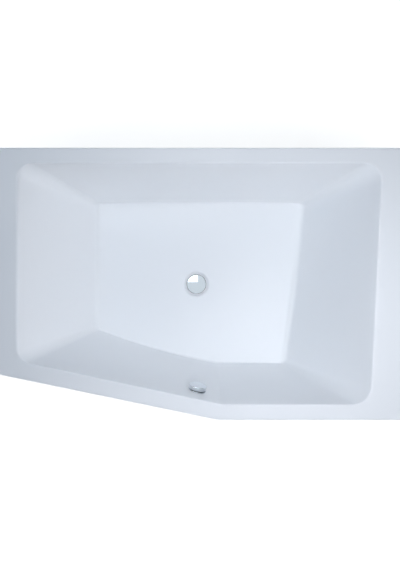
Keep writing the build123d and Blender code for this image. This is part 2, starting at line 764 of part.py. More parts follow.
def wall_brackets():
    """Angle brackets on the back wall, under the lip of the rim."""
    wall_y = WIDTH / 2 - BRACKET_T / 2
    top = LIP_Z - BRACKET_PAD_T - BRACKET_T / 2
    line = [(wall_y, top - BRACKET_LEG), (wall_y, top), (wall_y - BRACKET_LEG, top)]
    profile = sheet_profile(line, BRACKET_BEND_R, BRACKET_T)
    bracket = extrude(Plane.YZ * profile, BRACKET_WIDTH / 2, both=True)
    hole = Rot(90, 0, 0) * Cylinder(WALL_SCREW_R, 3 * BRACKET_T)
    bracket -= Pos(0, wall_y, top - BRACKET_LEG / 2) * hole
    return group([Pos(x, 0, 0) * bracket for x in (-BRACKET_X, BRACKET_X)])


def bracket_pads():
    """Soft pads between the wall brackets and the lip."""
    depth = BRACKET_LEG / 2
    middle = Pos(0, WIDTH / 2 - BRACKET_T - depth / 2, LIP_Z - BRACKET_PAD_T / 2)
    pad = middle * Box(BRACKET_WIDTH, depth, BRACKET_PAD_T)
    return group([Pos(x, 0, 0) * pad for x in (-BRACKET_X, BRACKET_X)])


def drain_flange():
    """The waste flange: a flat ring, a barrel, and a spider that guides the stem."""
    top = FLANGE_Z + FLANGE_T
    low = top - BARREL_H
    body = turned(
        (FLANGE_R, FLANGE_Z),
        (FLANGE_R, top - FLANGE_EDGE),
        (FLANGE_R - FLANGE_EDGE, top),
        (BARREL_BORE_R + FLANGE_CONE, top),
        (BARREL_BORE_R, top - FLANGE_CONE_H),
        (BARREL_BORE_R, low),
        (BARREL_R, low),
        (BARREL_R, FLANGE_Z),
    )
    middle_z = low + HUB_H / 2
    hub = Pos(0, 0, middle_z) * Cylinder(STEM_R + HUB_WALL, HUB_H)
    arm_start = STEM_R + HUB_WALL / 2
    arm_end = BARREL_BORE_R + HUB_WALL / 2
    arm = Pos((arm_start + arm_end) / 2, 0, middle_z) * Box(arm_end - arm_start, HUB_ARM_T, HUB_H)
    hub += [Rot(0, 0, 120 * turn) * arm for turn in range(3)]
    hub -= Pos(0, 0, middle_z) * Cylinder(STEM_R + SLIP, 2 * HUB_H)
    return AT_DRAIN * (body + hub)


def drain_seal_upper():
    """The thin seal between the flange and the tub."""
    return AT_DRAIN * Pos(0, 0, SEAT_Z) * ring(DRAIN_HOLE_R, FLANGE_R - 1, SEAL_T)


def drain_seal_lower():
    """The thick seal between the tub and the waste body."""
    return AT_DRAIN * Pos(0, 0, WASTE_TOP) * ring(DRAIN_HOLE_R + 2, FLANGE_R, LOWER_SEAL_T)


def waste_body():
    """The moulded waste body: neck, chamber, inlet, outlet, cable boss and lever ears."""
    neck_r = BARREL_R + SLIP + MOULDED_T
    wall_r = CHAMBER_R + MOULDED_T
    roof = WASTE_NECK - MOULDED_T
    outside = turned(
        (0, WASTE_BOTTOM),
        (wall_r - MOULDED_EDGE, WASTE_BOTTOM),
        (wall_r, WASTE_BOTTOM + MOULDED_EDGE),
        (wall_r, WASTE_NECK),
        (neck_r, WASTE_NECK),
        (neck_r, WASTE_TOP - BODY_FLANGE_T - BODY_FLANGE_CONE),
        (FLANGE_R, WASTE_TOP - BODY_FLANGE_T),
        (FLANGE_R, WASTE_TOP),
        (0, WASTE_TOP),
    )
    outside += tube_between((0, 0, PIPE_Z), (0, INLET_END, PIPE_Z), PIPE_R)
    outside += tube_between((0, 0, PIPE_Z), (0, OUTLET_START, PIPE_Z), TRAP_PIPE_R)
    boss_r = CABLE_R + CABLE_BOSS_WALL
    outside += tube_between((0, 0, CABLE_Z), (CABLE_BOSS_END, 0, CABLE_Z), boss_r)
    floor = WASTE_BOTTOM + MOULDED_T
    inside = turned(
        (0, floor),
        (CHAMBER_R - MOULDED_EDGE, floor),
        (CHAMBER_R, floor + MOULDED_EDGE),
        (CHAMBER_R, roof),
        (BARREL_R + SLIP, roof),
        (BARREL_R + SLIP, WASTE_TOP),
        (0, WASTE_TOP),
    )
    inside += tube_between((0, 0, PIPE_Z), (0, INLET_END, PIPE_Z), PIPE_R - PIPE_T)
    inside += tube_between((0, 0, PIPE_Z), (0, OUTLET_START, PIPE_Z), TRAP_PIPE_R - PIPE_T)
    inside += tube_between((0, 0, CABLE_Z), (CABLE_BOSS_END, 0, CABLE_Z), CABLE_BORE_R)
    body = outside - inside
    ear_start = LEVER_ARM - 2 * PIN_R
    ear_end = CHAMBER_R + MOULDED_T / 2
    for side in (-1, 1):
        ear_y = side * (LEVER_WIDTH / 2 + GAP + EAR_T / 2)
        ear = Box(ear_end - ear_start, EAR_T, 4 * PIN_R)
        body += Pos((ear_start + ear_end) / 2, ear_y, PIVOT_Z) * ear
    pin_hole = Rot(90, 0, 0) * Cylinder(PIN_R + SLIP, pin_length() + 2 * SLIP)
    body -= Pos(LEVER_ARM, 0, PIVOT_Z) * pin_hole
    return AT_DRAIN * body


def pin_length():
    """The lever pin reaches through both ears."""
    return LEVER_WIDTH + 2 * GAP + 2 * EAR_T


def lever_pin():
    """The pin that the lift lever rocks on."""
    pin = Rot(90, 0, 0) * Cylinder(PIN_R, pin_length())
    return AT_DRAIN * Pos(LEVER_ARM, 0, PIVOT_Z) * pin


def lift_lever():
    """The bell crank below the plug's stem, drawn with its tip down."""
    eye_r = PIN_R + LEVER_EYE_WALL
    root = Circle(eye_r - LEVER_WAIST).edges()
    tip = Circle(TIP_R)
    arm = make_hull([*root, *(Pos(-LEVER_ARM, 0) * tip).edges()])
    crank = make_hull([*root, *(Pos(0, LEVER_SHORT_ARM) * tip).edges()])
    flat = Circle(eye_r) + arm + crank - Circle(PIN_R + SLIP)
    lever = extrude(Plane.XZ * flat, LEVER_WIDTH / 2, both=True)
    return AT_DRAIN * Pos(LEVER_ARM, 0, PIVOT_Z) * Rot(0, -math.degrees(SWING), 0) * lever


def plug_cap():
    """The domed cap of the waste."""
    low = CAP_Z
    edge = low + CAP_EDGE_H
    top = edge + CAP_DOME_H
    foot = [(0, 0, low), (CAP_R - CAP_EDGE_R, 0, low), (CAP_R, 0, low + CAP_EDGE_R)]
    line = Polyline(*foot, (CAP_R, 0, edge))
    rise = CAP_DOME_H
    sphere_r = (CAP_R**2 + rise**2) / (2 * rise)
    half = CAP_R / 2
    middle_z = top - sphere_r + math.sqrt(sphere_r**2 - half**2)
    dome = ThreePointArc((CAP_R, 0, edge), (half, 0, middle_z), (0, 0, top))
    profile = make_face(line + dome + Line((0, 0, top), (0, 0, low)))
    cap = revolve(profile, Axis.Z)
    cap -= Pos(0, 0, low) * Cylinder(STEM_R + SLIP, CAP_SOCKET_H)
    return AT_DRAIN * cap


def plug_stem():
    """The guide stem with its sealing cone, screwed up into the cap."""
    low = FLANGE_Z - SEAL_T
    cone_r = BARREL_BORE_R - CONE_UNDERCUT
    stem = turned(
        (0, STEM_END),
        (STEM_NOSE_R, STEM_END),
        (STEM_R, STEM_END + STEM_R - STEM_NOSE_R),
        (STEM_R, low),
        (cone_r, low),
        (cone_r + CONE_OVERLAP, CAP_Z - PLUG_SEAL_T),
        (cone_r + CONE_OVERLAP, CAP_Z),
        (STEM_R, CAP_Z),
        (STEM_R, CAP_Z + STEM_THREAD),
        (0, CAP_Z + STEM_THREAD),
    )
    return AT_DRAIN * stem


def plug_seal():
    """The rubber ring round the cone of the plug."""
    inner = BARREL_BORE_R - CONE_UNDERCUT + CONE_OVERLAP
    outer = BARREL_BORE_R + PLUG_SEAL_OVERLAP
    low = CAP_Z - PLUG_SEAL_T
    chamfer_t = PLUG_SEAL_T / 2
    seal = turned(
        (inner, low),
        (outer - chamfer_t, low),
        (outer, low + chamfer_t),
        (outer, CAP_Z),
        (inner, CAP_Z),
    )
    return AT_DRAIN * seal


def overflow_rose():
    """The ring behind the knob, with its water holes and the bearing of the spindle."""
    rose = Pos(0, 0, ROSE_BACK + ROSE_T / 2) * Cylinder(ROSE_R, ROSE_T)
    rose = fillet(rose.faces().sort_by(Axis.Z)[-1].edges(), ROSE_T / 3)
    rose -= Cylinder(SPINDLE_R + SLIP, 8 * ROSE_T)
    for turn in range(6):
        hole = Pos(WATER_HOLE_CIRCLE_R, 0, 0) * Cylinder(WATER_HOLE_R, 8 * ROSE_T)
        rose -= Rot(0, 0, 60 * turn + 30) * hole
    for x in (-LUG_X, LUG_X):
        rose -= Pos(x, 0, 0) * Cylinder(SCREW_R + SLIP, 8 * ROSE_T)
    return AT_OVERFLOW * rose


def rose_seal():
    """The thin seal between the rose and the wall."""
    return AT_OVERFLOW * Pos(0, 0, GAP) * ring(OVERFLOW_HOLE_R + 1, ROSE_R - 1, SEAL_T)


def overflow_seal():
    """The thick seal between the wall and the overflow body."""
    return AT_OVERFLOW * Pos(0, 0, OVERFLOW_SEAL_BACK) * ring(OVERFLOW_HOLE_R + 1.5, KNOB_R, LOWER_SEAL_T)


def overflow_body():
    """The moulded box behind the wall: flange, chamber, pipe stub and cable boss."""
    wall_r = OVERFLOW_CHAMBER_R + MOULDED_T
    end = CHAMBER_BACK - MOULDED_T
    top = OVERFLOW_SEAL_BACK
    outside = turned(
        (0, end - SPINDLE_FOOT_H - MOULDED_T),
        (SPINDLE_R + MOULDED_T, end - SPINDLE_FOOT_H - MOULDED_T),
        (SPINDLE_R + MOULDED_T, end),
        (wall_r - MOULDED_T, end),
        (wall_r, end + MOULDED_T),
        (wall_r, top - BODY_FLANGE_T),
        (KNOB_R + OVERFLOW_FLANGE_EDGE, top - BODY_FLANGE_T),
        (KNOB_R + OVERFLOW_FLANGE_EDGE, top),
        (0, top),
    )
    outside += tube_between((0, 0, STUB_DEPTH), (0, OVERFLOW_STUB_END, STUB_DEPTH), PIPE_R)
    boss_r = CABLE_R + CABLE_BOSS_WALL
    outside += tube_between((0, 0, STUB_DEPTH), (OVERFLOW_BOSS_END, 0, STUB_DEPTH), boss_r)
    inside = turned(
        (0, end - SPINDLE_FOOT_H),
        (SPINDLE_R + SLIP, end - SPINDLE_FOOT_H),
        (SPINDLE_R + SLIP, CHAMBER_BACK),
        (OVERFLOW_CHAMBER_R, CHAMBER_BACK),
        (OVERFLOW_CHAMBER_R, top),
        (0, top),
    )
    inside += tube_between((0, 0, STUB_DEPTH), (0, OVERFLOW_STUB_END, STUB_DEPTH), PIPE_R - PIPE_T)
    inside += tube_between((0, 0, STUB_DEPTH), (OVERFLOW_BOSS_END, 0, STUB_DEPTH), CABLE_BORE_R)
    body = outside - inside
    lug_low = CHAMBER_BACK - MOULDED_T / 2
    for x in (-LUG_X, LUG_X):
        body += Pos(x, 0, lug_low) * extrude(Circle(LUG_R), LUG_TOP - lug_low)
        hole = extrude(Circle(SCREW_R + SLIP), LUG_SCREW_DEPTH)
        body -= Pos(x, 0, LUG_TOP - LUG_SCREW_DEPTH) * hole
    return AT_OVERFLOW * body


def overflow_screws():
    """The two screws that pull the rose and the overflow body together."""
    tip = LUG_TOP - LUG_SCREW_DEPTH + SEAL_T
    head_r = SCREW_HEAD_R - SCREW_HEAD_EDGE
    head_top = ROSE_FRONT + KNOB_GAP / 2
    screw = turned(
        (0, head_top),
        (head_r / 2, head_top),
        (head_r, ROSE_FRONT + KNOB_GAP / 6),
        (head_r, ROSE_FRONT),
        (SCREW_R, ROSE_FRONT),
        (SCREW_R, tip + SCREW_R),
        (0, tip),
    )
    return group([AT_OVERFLOW * Pos(x, 0, 0) * screw for x in (-LUG_X, LUG_X)])


def overflow_knob():
    """The rotary knob: a cup-shaped disc with a socket for the spindle."""
    knob = Pos(0, 0, KNOB_BACK + KNOB_T / 2) * Cylinder(KNOB_R, KNOB_T)
    knob = fillet(knob.faces().sort_by(Axis.Z)[-1].edges(), KNOB_EDGE_R)
    knob = chamfer(knob.faces().sort_by(Axis.Z)[0].edges(), KNOB_BACK_CHAMFER)
    hollow_h = KNOB_T - KNOB_FACE_T
    hub_h = KNOB_T - KNOB_HUB_SETBACK
    knob -= Pos(0, 0, KNOB_BACK + hollow_h / 2) * Cylinder(KNOB_R - KNOB_WALL, hollow_h)
    knob += Pos(0, 0, KNOB_BACK + hub_h / 2) * Cylinder(SPINDLE_R + KNOB_HUB_WALL, hub_h)
    knob -= Pos(0, 0, KNOB_BACK + hollow_h / 2) * Cylinder(SPINDLE_R + SLIP, hollow_h)
    return AT_OVERFLOW * knob


def knob_spindle():
    """The spindle through the wall, with the drum that winds the cable."""
    top = KNOB_BACK + KNOB_T - KNOB_FACE_T - SLIP
    low = CHAMBER_BACK - MOULDED_T - SPINDLE_FOOT_H + GAP
    drum_low = CHAMBER_BACK + DRUM_CLEARANCE
    drum_top = drum_low + DRUM_H
    groove = (drum_top + drum_low) / 2
    groove_half = DRUM_GROOVE_SLOPE
    spindle = turned(
        (0, low),
        (SPINDLE_R, low),
        (SPINDLE_R, drum_low),
        (DRUM_R, drum_low),
        (DRUM_R, groove - 2 * groove_half),
        (DRUM_R - DRUM_GROOVE, groove - groove_half),
        (DRUM_R - DRUM_GROOVE, groove + groove_half),
        (DRUM_R, groove + 2 * groove_half),
        (DRUM_R, drum_top),
        (SPINDLE_R, drum_top),
        (SPINDLE_R, top),
        (0, top),
    )
    return AT_OVERFLOW * spindle


def at_overflow(x, y, z):
    """A point of the overflow's own frame, in the bath's frame."""
    return OVERFLOW.from_local_coords(Vector(x, y, z))


def pipe_points():
    """The overflow pipe: down behind the wall, then level to the waste."""
    start = at_overflow(0, OVERFLOW_STUB_END, STUB_DEPTH)
    down = -OVERFLOW.y_dir
    bend = start + down * ((PIPE_Z - start.Z) / down.Z)
    end = Vector(DRAIN_X, DRAIN_Y + INLET_END, PIPE_Z)
    straight = end + Vector(0, -PIPE_LEAD_IN, 0)
    return [start, bend, straight, end]


def overflow_pipe():
    """The pipe from the overflow to the waste body."""
    path = FilletPolyline(*pipe_points(), radius=PIPE_BEND_R)
    section = Plane(origin=path @ 0, z_dir=path % 0) * (Circle(PIPE_R) - Circle(PIPE_R - PIPE_T))
    return sweep(section, path)


def pipe_nuts():
    """The union nuts at both ends of the overflow pipe."""
    points = pipe_points()
    nut = Pos(0, 0, -PIPE_NUT_LENGTH / 2) * union_nut(PIPE_R + SLIP, PIPE_NUT_LENGTH)
    first = Plane(origin=points[0], z_dir=points[1] - points[0]).location * nut
    last = Plane(origin=points[-1], z_dir=points[-2] - points[-1]).location * nut
    return group([first, last])


def cable_points():
    """The cable sheath: out of the overflow box, down behind the wall, to the waste."""
    start = at_overflow(OVERFLOW_BOSS_END, 0, STUB_DEPTH)
    side = -OVERFLOW.x_dir
    shoulder = start + side * CABLE_RUN
    end = Vector(DRAIN_X + CABLE_BOSS_END, DRAIN_Y, CABLE_Z)
    corner = end + Vector(CABLE_RUN, 0, 0)
    down = -OVERFLOW.y_dir
    below = shoulder + down * ((CABLE_Z - shoulder.Z) / down.Z)
    foot = Vector(corner.X, below.Y, CABLE_Z)
    return [start, shoulder, foot, corner, end]


def bowden_cable():
    """The sheath of the cable between the knob's drum and the lift lever."""
    path = FilletPolyline(*cable_points(), radius=CABLE_BEND_R)
    section = Plane(origin=path @ 0, z_dir=path % 0) * Circle(CABLE_R)
    return sweep(section, path)


def cable_nuts():
    """The small nuts that hold the ends of the cable sheath to their bosses."""
    points = cable_points()
    nut = ring(CABLE_R + SLIP, CABLE_R + CABLE_NUT_WALL, CABLE_NUT_LENGTH)
    first = Plane(origin=points[0], z_dir=points[1] - points[0]).location * nut
    last = Plane(origin=points[-1], z_dir=points[-2] - points[-1]).location * nut
    return group([first, last])


def trap_body():
    """The low trap: a bowl with an inlet from the waste and an outlet to the back."""
    top = PIPE_Z + TRAP_PIPE_R + TRAP_HEADROOM
    low = top - TRAP_H
    wall = MOULDED_T
    outside = turned(
        (0, low),
        (TRAP_R - TRAP_FOOT, low),
        (TRAP_R, low + TRAP_FOOT),
        (TRAP_R, top - wall),
        (TRAP_R - wall, top),
        (0, top),
    )
    inside = turned(
        (0, low + wall),
        (TRAP_R - TRAP_FOOT - wall / 2, low + wall),
        (TRAP_R - wall, low + TRAP_FOOT + wall / 2),
        (TRAP_R - wall, top - wall),
        (0, top - wall),
    )
    inlet = (0, OUTLET_START - TRAP_Y, PIPE_Z)
    outlet = (0, TRAP_R + TRAP_STUB, OUTLET_Z)
    for end, z in ((inlet, PIPE_Z), (outlet, OUTLET_Z)):
        outside += tube_between((0, 0, z), end, TRAP_PIPE_R)
    body = outside - inside
    for end, z in ((inlet, PIPE_Z), (outlet, OUTLET_Z)):
        body -= tube_between((0, 0, z), end, TRAP_PIPE_R - PIPE_T)
    return AT_DRAIN * Pos(0, TRAP_Y, 0) * body


def outlet_pipe():
    """The tailpiece that the house's drain pipe is pushed on to, with its collar."""
    start = (0, TAIL_Y, OUTLET_Z)
    end = (0, TAIL_Y + OUTLET_LENGTH, OUTLET_Z)
    pipe = tube_between(start, end, OUTLET_R)
    pipe += tube_between(start, (0, TAIL_Y + OUTLET_COLLAR, OUTLET_Z), TRAP_PIPE_R)
    return AT_DRAIN * (pipe - tube_between(start, end, OUTLET_R - PIPE_T))


def trap_nuts():
    """The union nuts before and behind the trap."""
    nut = Pos(0, 0, -TRAP_NUT_LENGTH / 2) * union_nut(TRAP_PIPE_R + SLIP, TRAP_NUT_LENGTH)
    places = [(OUTLET_START, PIPE_Z), (TAIL_Y, OUTLET_Z)]
    return group([AT_DRAIN * Pos(0, y, z) * Rot(-90, 0, 0) * nut for y, z in places])


def all_parts():
    """Every node by name."""
    makers = [
        tub_shell, laminate_backing, base_board, rail_screws, foot_lock_nuts, rim_supports,
        support_bolts, support_pads, front_panel, panel_screws, panel_clips, wall_brackets,
        bracket_pads, drain_flange, drain_seal_upper, drain_seal_lower, waste_body, lever_pin,
        lift_lever, plug_cap, plug_stem, plug_seal, overflow_rose, rose_seal, overflow_seal,
        overflow_body, overflow_screws, overflow_knob, knob_spindle, overflow_pipe, pipe_nuts,
        bowden_cable, cable_nuts, trap_body, outlet_pipe, trap_nuts,
    ]
    parts = {maker.__name__: maker() for maker in makers}
    for name in RAIL_X:
        parts["rail_" + name] = rail(name)
    for place in foot_places():
        parts["foot_rod_" + place] = foot_rod(place)
        parts["foot_pad_" + place] = foot_pad(place)
    return parts


os.makedirs("parts", exist_ok=True)
for node, shape in all_parts().items():
    export_step(shape, "parts/" + node + ".step")
print("knob axis", OVERFLOW.origin, OVERFLOW.z_dir)
print("lever pivot", DRAIN_X + LEVER_ARM, DRAIN_Y, PIVOT_Z, "swing", 2 * math.degrees(SWING))
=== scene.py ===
"""Looks of the white acrylic bath with a diagonal front. Metres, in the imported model's frame."""
import json
import math

import bmesh
import bpy
import numpy as np
from mathutils import Matrix, Vector, noise


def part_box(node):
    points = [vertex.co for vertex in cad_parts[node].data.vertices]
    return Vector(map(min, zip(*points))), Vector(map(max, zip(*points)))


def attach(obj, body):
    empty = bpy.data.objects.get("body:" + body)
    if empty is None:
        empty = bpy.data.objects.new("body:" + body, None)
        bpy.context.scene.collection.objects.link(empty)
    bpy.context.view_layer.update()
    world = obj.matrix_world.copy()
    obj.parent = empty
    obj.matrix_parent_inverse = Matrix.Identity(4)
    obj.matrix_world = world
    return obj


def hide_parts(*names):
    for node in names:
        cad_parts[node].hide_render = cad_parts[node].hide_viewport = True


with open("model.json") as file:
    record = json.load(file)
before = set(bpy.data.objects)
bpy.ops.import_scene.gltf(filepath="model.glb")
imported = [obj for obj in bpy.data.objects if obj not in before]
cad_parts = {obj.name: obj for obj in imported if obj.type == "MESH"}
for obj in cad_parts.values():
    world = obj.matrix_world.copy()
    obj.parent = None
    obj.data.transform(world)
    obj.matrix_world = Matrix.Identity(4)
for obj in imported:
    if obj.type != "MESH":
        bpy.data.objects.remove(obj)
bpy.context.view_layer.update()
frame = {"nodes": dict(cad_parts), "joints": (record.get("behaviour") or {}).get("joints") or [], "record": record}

MM = 0.001

# The bath's sizes, as in the construction
LOW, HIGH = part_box("tub_shell")
LENGTH = HIGH.x - LOW.x
WIDTH = HIGH.y - LOW.y
RIM_Z = HIGH.z
NARROW_END = 830 * MM
KINK_X = 70 * MM
DEPTH = 450 * MM
RIM_BACK, RIM_FRONT, RIM_DIAGONAL = 57 * MM, 59 * MM, 63.5 * MM
RIM_LEFT, RIM_RIGHT_BACK, RIM_RIGHT_FRONT = 81.5 * MM, 81.5 * MM, 124 * MM
RIM_KINK_SHIFT = 7 * MM
RUN_BACK, RUN_FRONT, RUN_DIAGONAL = 102 * MM, 108 * MM, 92 * MM
RUN_LEFT, RUN_RIGHT_BACK, RUN_RIGHT_FRONT = 234.5 * MM, 230.5 * MM, 270 * MM
RUN_KINK = 5 * MM
OUTER_CORNER_R = 8 * MM
RIM_EDGE_R = 4 * MM
LIP_H = 40 * MM
LIP_EDGE_R = 1 * MM
SHELL_T = 4 * MM
UNDER_RIM_TURN = 2 * MM
LAMINATE_T = 3 * MM
LAMINATE_GAP = 0.1 * MM
LAMINATE_BELOW_DECK = 10 * MM
RIM_RADII = np.array([58, 65, 73, 60, 58]) * MM
FLOOR_RADII = np.array([18, 20, 23, 60, 18]) * MM
FLOOR_BULGES = np.array([4, 5, 0, 12, 0]) * MM
FLOOR_Z = RIM_Z - DEPTH
DECK_Z = RIM_Z - SHELL_T
LIP_Z = RIM_Z - LIP_H

# How softly the basin turns at the floor and at the rim: back, right, front, diagonal, left
FLOOR_TURN = np.array([10, 42, 9, 11, 24]) * MM
RIM_TURN = np.array([7, 9, 6, 6, 13]) * MM

# The waste seat
DRAIN = Vector((-15 * MM, 0, 0))
SEAT_R = 46 * MM
SEAT_DEPTH = 6 * MM
SEAT_LEDGE = 6 * MM
SEAT_SOFT = 3 * MM
DRAIN_HOLE_R = 27 * MM

# The overflow hole, and the length to each side that a cutter for it needs
OVERFLOW_HOLE_R = 27 * MM
CUTTER_HALF = 50 * MM

# The front panel
PANEL_INSET = 8 * MM
PANEL_T = 4 * MM
PANEL_RETURN = 22 * MM
PANEL_LOW = 18 * MM
PANEL_TOP = DECK_Z - 3.3 * MM
PANEL_KINK_R = 40 * MM
PANEL_FOOT_R = 5 * MM
PANEL_INNER_CHAMFER = 1.5 * MM
PANEL_END_GAP = 1 * MM
PANEL_EDGE_R = 0.8 * MM

# The waste cap, and at its foot a thin black ring that is painted shadow: it stands for the shaded gap under the
# cap's edge
CAP_SETBACK = 1.3 * MM
CAP_EDGE_H = 2.5 * MM
CAP_EDGE_R = 1 * MM
CAP_EDGE_DROP = 0.2 * MM
CAP_SOCKET_R = 4.2 * MM
CAP_SOCKET_DEPTH = 3 * MM
SHADOW_RING_W = 2 * MM
SHADOW_RING_H = 1.2 * MM
SHADOW_RING_ROUND = 0.3 * MM

# The knob: its back and its thickness are along its axis, from the joint's place
KNOB_R = 33 * MM
KNOB_BACK = 7.3 * MM
KNOB_T = 14.5 * MM
KNOB_FRONT_R = 2 * MM
KNOB_BACK_R = 0.8 * MM
KNOB_WALL = 4 * MM
KNOB_FACE_T = 5 * MM
KNOB_BOSS_R = 9 * MM
KNOB_BOSS_SHORT = 0.2 * MM
INNER_SOFT = 1 * MM

# The feet
M10_BORE_R = 5.05 * MM
THREAD_PITCH = 1.5 * MM
THREAD_DEPTH = 0.85 * MM
PAD_SOCKET_R = 9 * MM
PAD_EDGE_R = 1.5 * MM
PAD_EDGE_TOP = 2.5 * MM
PAD_RIM_W = 4 * MM
PAD_SOLE_LIFT = 0.2 * MM
RIB_COUNT = 8
RIB_T = 1.6 * MM
RIB_H = 4.5 * MM
RIB_MIDDLE_Z = 4.6 * MM
RIB_FROM_EDGE = 5 * MM
RIB_OUTER_Z = 4.4 * MM

# Nuts and the recesses in screw heads
NUT_CORNER_SLOPE = math.radians(28)
NUT_FACE_SHARE = 0.96
NUT_BORE_LEAD = 0.5 * MM
NUT_BORE_LEAD_H = 0.4 * MM
RAIL_CROSS = 4.4 * MM
RAIL_CROSS_DEPTH = 1.3 * MM
PANEL_CROSS = 3.4 * MM
PANEL_CROSS_DEPTH = 0.9 * MM
CROSS_BAR_SHARE = 0.22
CROSS_TURN = 0.4

# The camera of the photograph
CAMERA_ABOVE_RIM = 3.0
CAMERA_Y = -3.7 * MM
CAMERA_LENS = 51.7
SENSOR_H = 36.0
FLOOR_BELOW = 0.5 * MM
FLOOR_REACH = 30

# Points round every outline: in each corner and along each side
CORNER_STEPS = [14, 14, 14, 6, 14]
SIDE_STEPS = [30, 20, 14, 22, 14]


def rotated(vector, angle):
    """A plan vector turned to the left by an angle."""
    c, s = math.cos(angle), math.sin(angle)
    return np.array([c * vector[0] - s * vector[1], s * vector[0] + c * vector[1]])


def moved_sides(corners, amounts):
    """The corners of a clockwise outline after each side has moved outwards."""
    count = len(corners)
    lines = []
    for i in range(count):
        along = corners[(i + 1) % count] - corners[i]
        along = along / np.linalg.norm(along)
        lines.append((corners[i] + np.array([-along[1], along[0]]) * amounts[i], along))
    crossings = []
    for i in range(count):
        before, u = lines[i - 1]
        point, v = lines[i]
        reach = np.cross(point - before, v) / np.cross(u, v)
        crossings.append(before + u * reach)
    return crossings


def outer_corners():
    """The rim's outer corners, clockwise from back left."""
    x, y = LENGTH / 2, WIDTH / 2
    return [np.array(p) for p in ((-x, y), (x, y), (x, -y), (KINK_X, -y), (-x, y - NARROW_END))]


def basin_corners():
    """The basin's corners at the rim and at the floor."""
    rim = moved_sides(outer_corners(), [-RIM_BACK, -RIM_RIGHT_BACK, -RIM_FRONT, -RIM_DIAGONAL, -RIM_LEFT])
    rim[2] = rim[2] - np.array([RIM_RIGHT_FRONT - RIM_RIGHT_BACK, 0])
    rim[3] = np.array([KINK_X + RIM_KINK_SHIFT, rim[3][1]])
    runs = [
        (RUN_LEFT, -RUN_BACK),
        (-RUN_RIGHT_BACK, -RUN_BACK),
        (-RUN_RIGHT_FRONT, RUN_FRONT),
        (-RUN_KINK, RUN_FRONT),
        (RUN_LEFT, RUN_DIAGONAL),
    ]
    return rim, [corner + np.array(run) for corner, run in zip(rim, runs)]


def outline(corners, radii, bulges):
    """Points round an outline: rounded corners, and sides that swell by their bulges."""
    count = len(corners)
    starts, ends = [], []
    for i in range(count):
        chord = corners[(i + 1) % count] - corners[i]
        length = np.linalg.norm(chord)
        lean = 2 * math.atan2(2 * bulges[i], length)
        starts.append(rotated(chord / length, lean))
        ends.append(rotated(chord / length, -lean))
    arcs = []
    for i in range(count):
        way_in, way_out = ends[i - 1], starts[i]
        turn = math.acos(float(np.clip(way_in @ way_out, -1, 1)))
        begin = corners[i] - way_in * radii[i] * math.tan(turn / 2)
        centre = begin + rotated(way_in, -math.pi / 2) * radii[i]
        steps = CORNER_STEPS[i]
        spoke = begin - centre
        arcs.append([centre + rotated(spoke, -turn * k / steps) for k in range(steps + 1)])
    points = []
    for i in range(count):
        points += arcs[i]
        p, q = arcs[i][-1], arcs[(i + 1) % count][0]
        span = np.linalg.norm(q - p)
        for k in range(1, SIDE_STEPS[i]):
            s = k / SIDE_STEPS[i]
            h = (2 * s**3 - 3 * s**2 + 1, s**3 - 2 * s**2 + s, -2 * s**3 + 3 * s**2, s**3 - s**2)
            points.append(h[0] * p + h[1] * span * starts[i] + h[2] * q + h[3] * span * ends[i])
    return np.array(points)


def side_values(values):
    """A value for each outline point: even along a side, eased through the corners."""
    spread = []
    for i in range(len(values)):
        before, after = values[i - 1], values[i]
        steps = CORNER_STEPS[i]
        for k in range(steps + 1):
            ease = 0.5 - 0.5 * math.cos(math.pi * k / steps)
            spread.append(before + (after - before) * ease)
        spread += [after] * (SIDE_STEPS[i] - 1)
    return np.array(spread)


def basin_outline(z, grow=0.0):
    """The basin's outline at a height, moved outwards by grow, as points in space."""
    t = (RIM_Z - z) / DEPTH
    rim, floor = basin_corners()
    corners = [a + (b - a) * t for a, b in zip(rim, floor)]
    radii = RIM_RADII + (FLOOR_RADII - RIM_RADII) * t + grow
    points = outline(moved_sides(corners, [grow] * 5), radii, FLOOR_BULGES * t)
    return np.column_stack([points, np.full(len(points), z)])


def outer_outline(grow, z):
    """The rim's outer outline, moved outwards by grow, at a height."""
    radii = [max(OUTER_CORNER_R + grow, 1 * MM)] * 5
    points = outline(moved_sides(outer_corners(), [grow] * 5), radii, [0] * 5)
    return np.column_stack([points, np.full(len(points), z)])


def turned_rings(corner, way_a, way_b, radius, steps):
    """Rings of a rounded edge at each point: from along way_a to along way_b."""
    cosine = (way_a * way_b).sum(1)
    between = np.arccos(np.clip(cosine, -1, 1))
    setback = radius / np.tan(between / 2)
    start = corner + way_a * setback[:, None]
    end = corner + way_b * setback[:, None]
    middle = way_a + way_b
    middle /= np.linalg.norm(middle, axis=1)[:, None]
    centre = corner + middle * (radius / np.sin(between / 2))[:, None]
    spoke_a, spoke_b = start - centre, end - centre
    swing = np.pi - between
    rings = []
    for k in range(steps + 1):
        s = k / steps
        a = np.sin((1 - s) * swing) / np.sin(swing)
        b = np.sin(s * swing) / np.sin(swing)
        rings.append(centre + spoke_a * a[:, None] + spoke_b * b[:, None])
    return rings


def unit(vectors):
    """Vectors made one long."""
    return vectors / np.linalg.norm(vectors, axis=1)[:, None]


def between_rings(first, last, steps):
    """The rings strictly between two rings."""
    return [first + (last - first) * (k / steps) for k in range(1, steps)]


def wall_rings(top, bottom, rim_r, floor_r, wall_steps=10, turn_steps=9):
    """Rings up a basin wall: floor turn, wall, rim turn. top and bottom are sharp edges."""
    down = unit(bottom - top)
    level = unit((bottom - top) * np.array([1, 1, 0]))
    floor = turned_rings(bottom, level, -down, floor_r, turn_steps)
    rim = turned_rings(top, down, -level, rim_r, turn_steps)
    return floor + between_rings(floor[-1], rim[0], wall_steps) + rim


def circle_like(ring, radius, z):
    """A circle about the drain whose points face those of a ring."""
    away = ring[:, :2] - np.array(DRAIN[:2])
    away = unit(away)
    points = np.array(DRAIN[:2]) + away * radius
    return np.column_stack([points, np.full(len(points), z)])


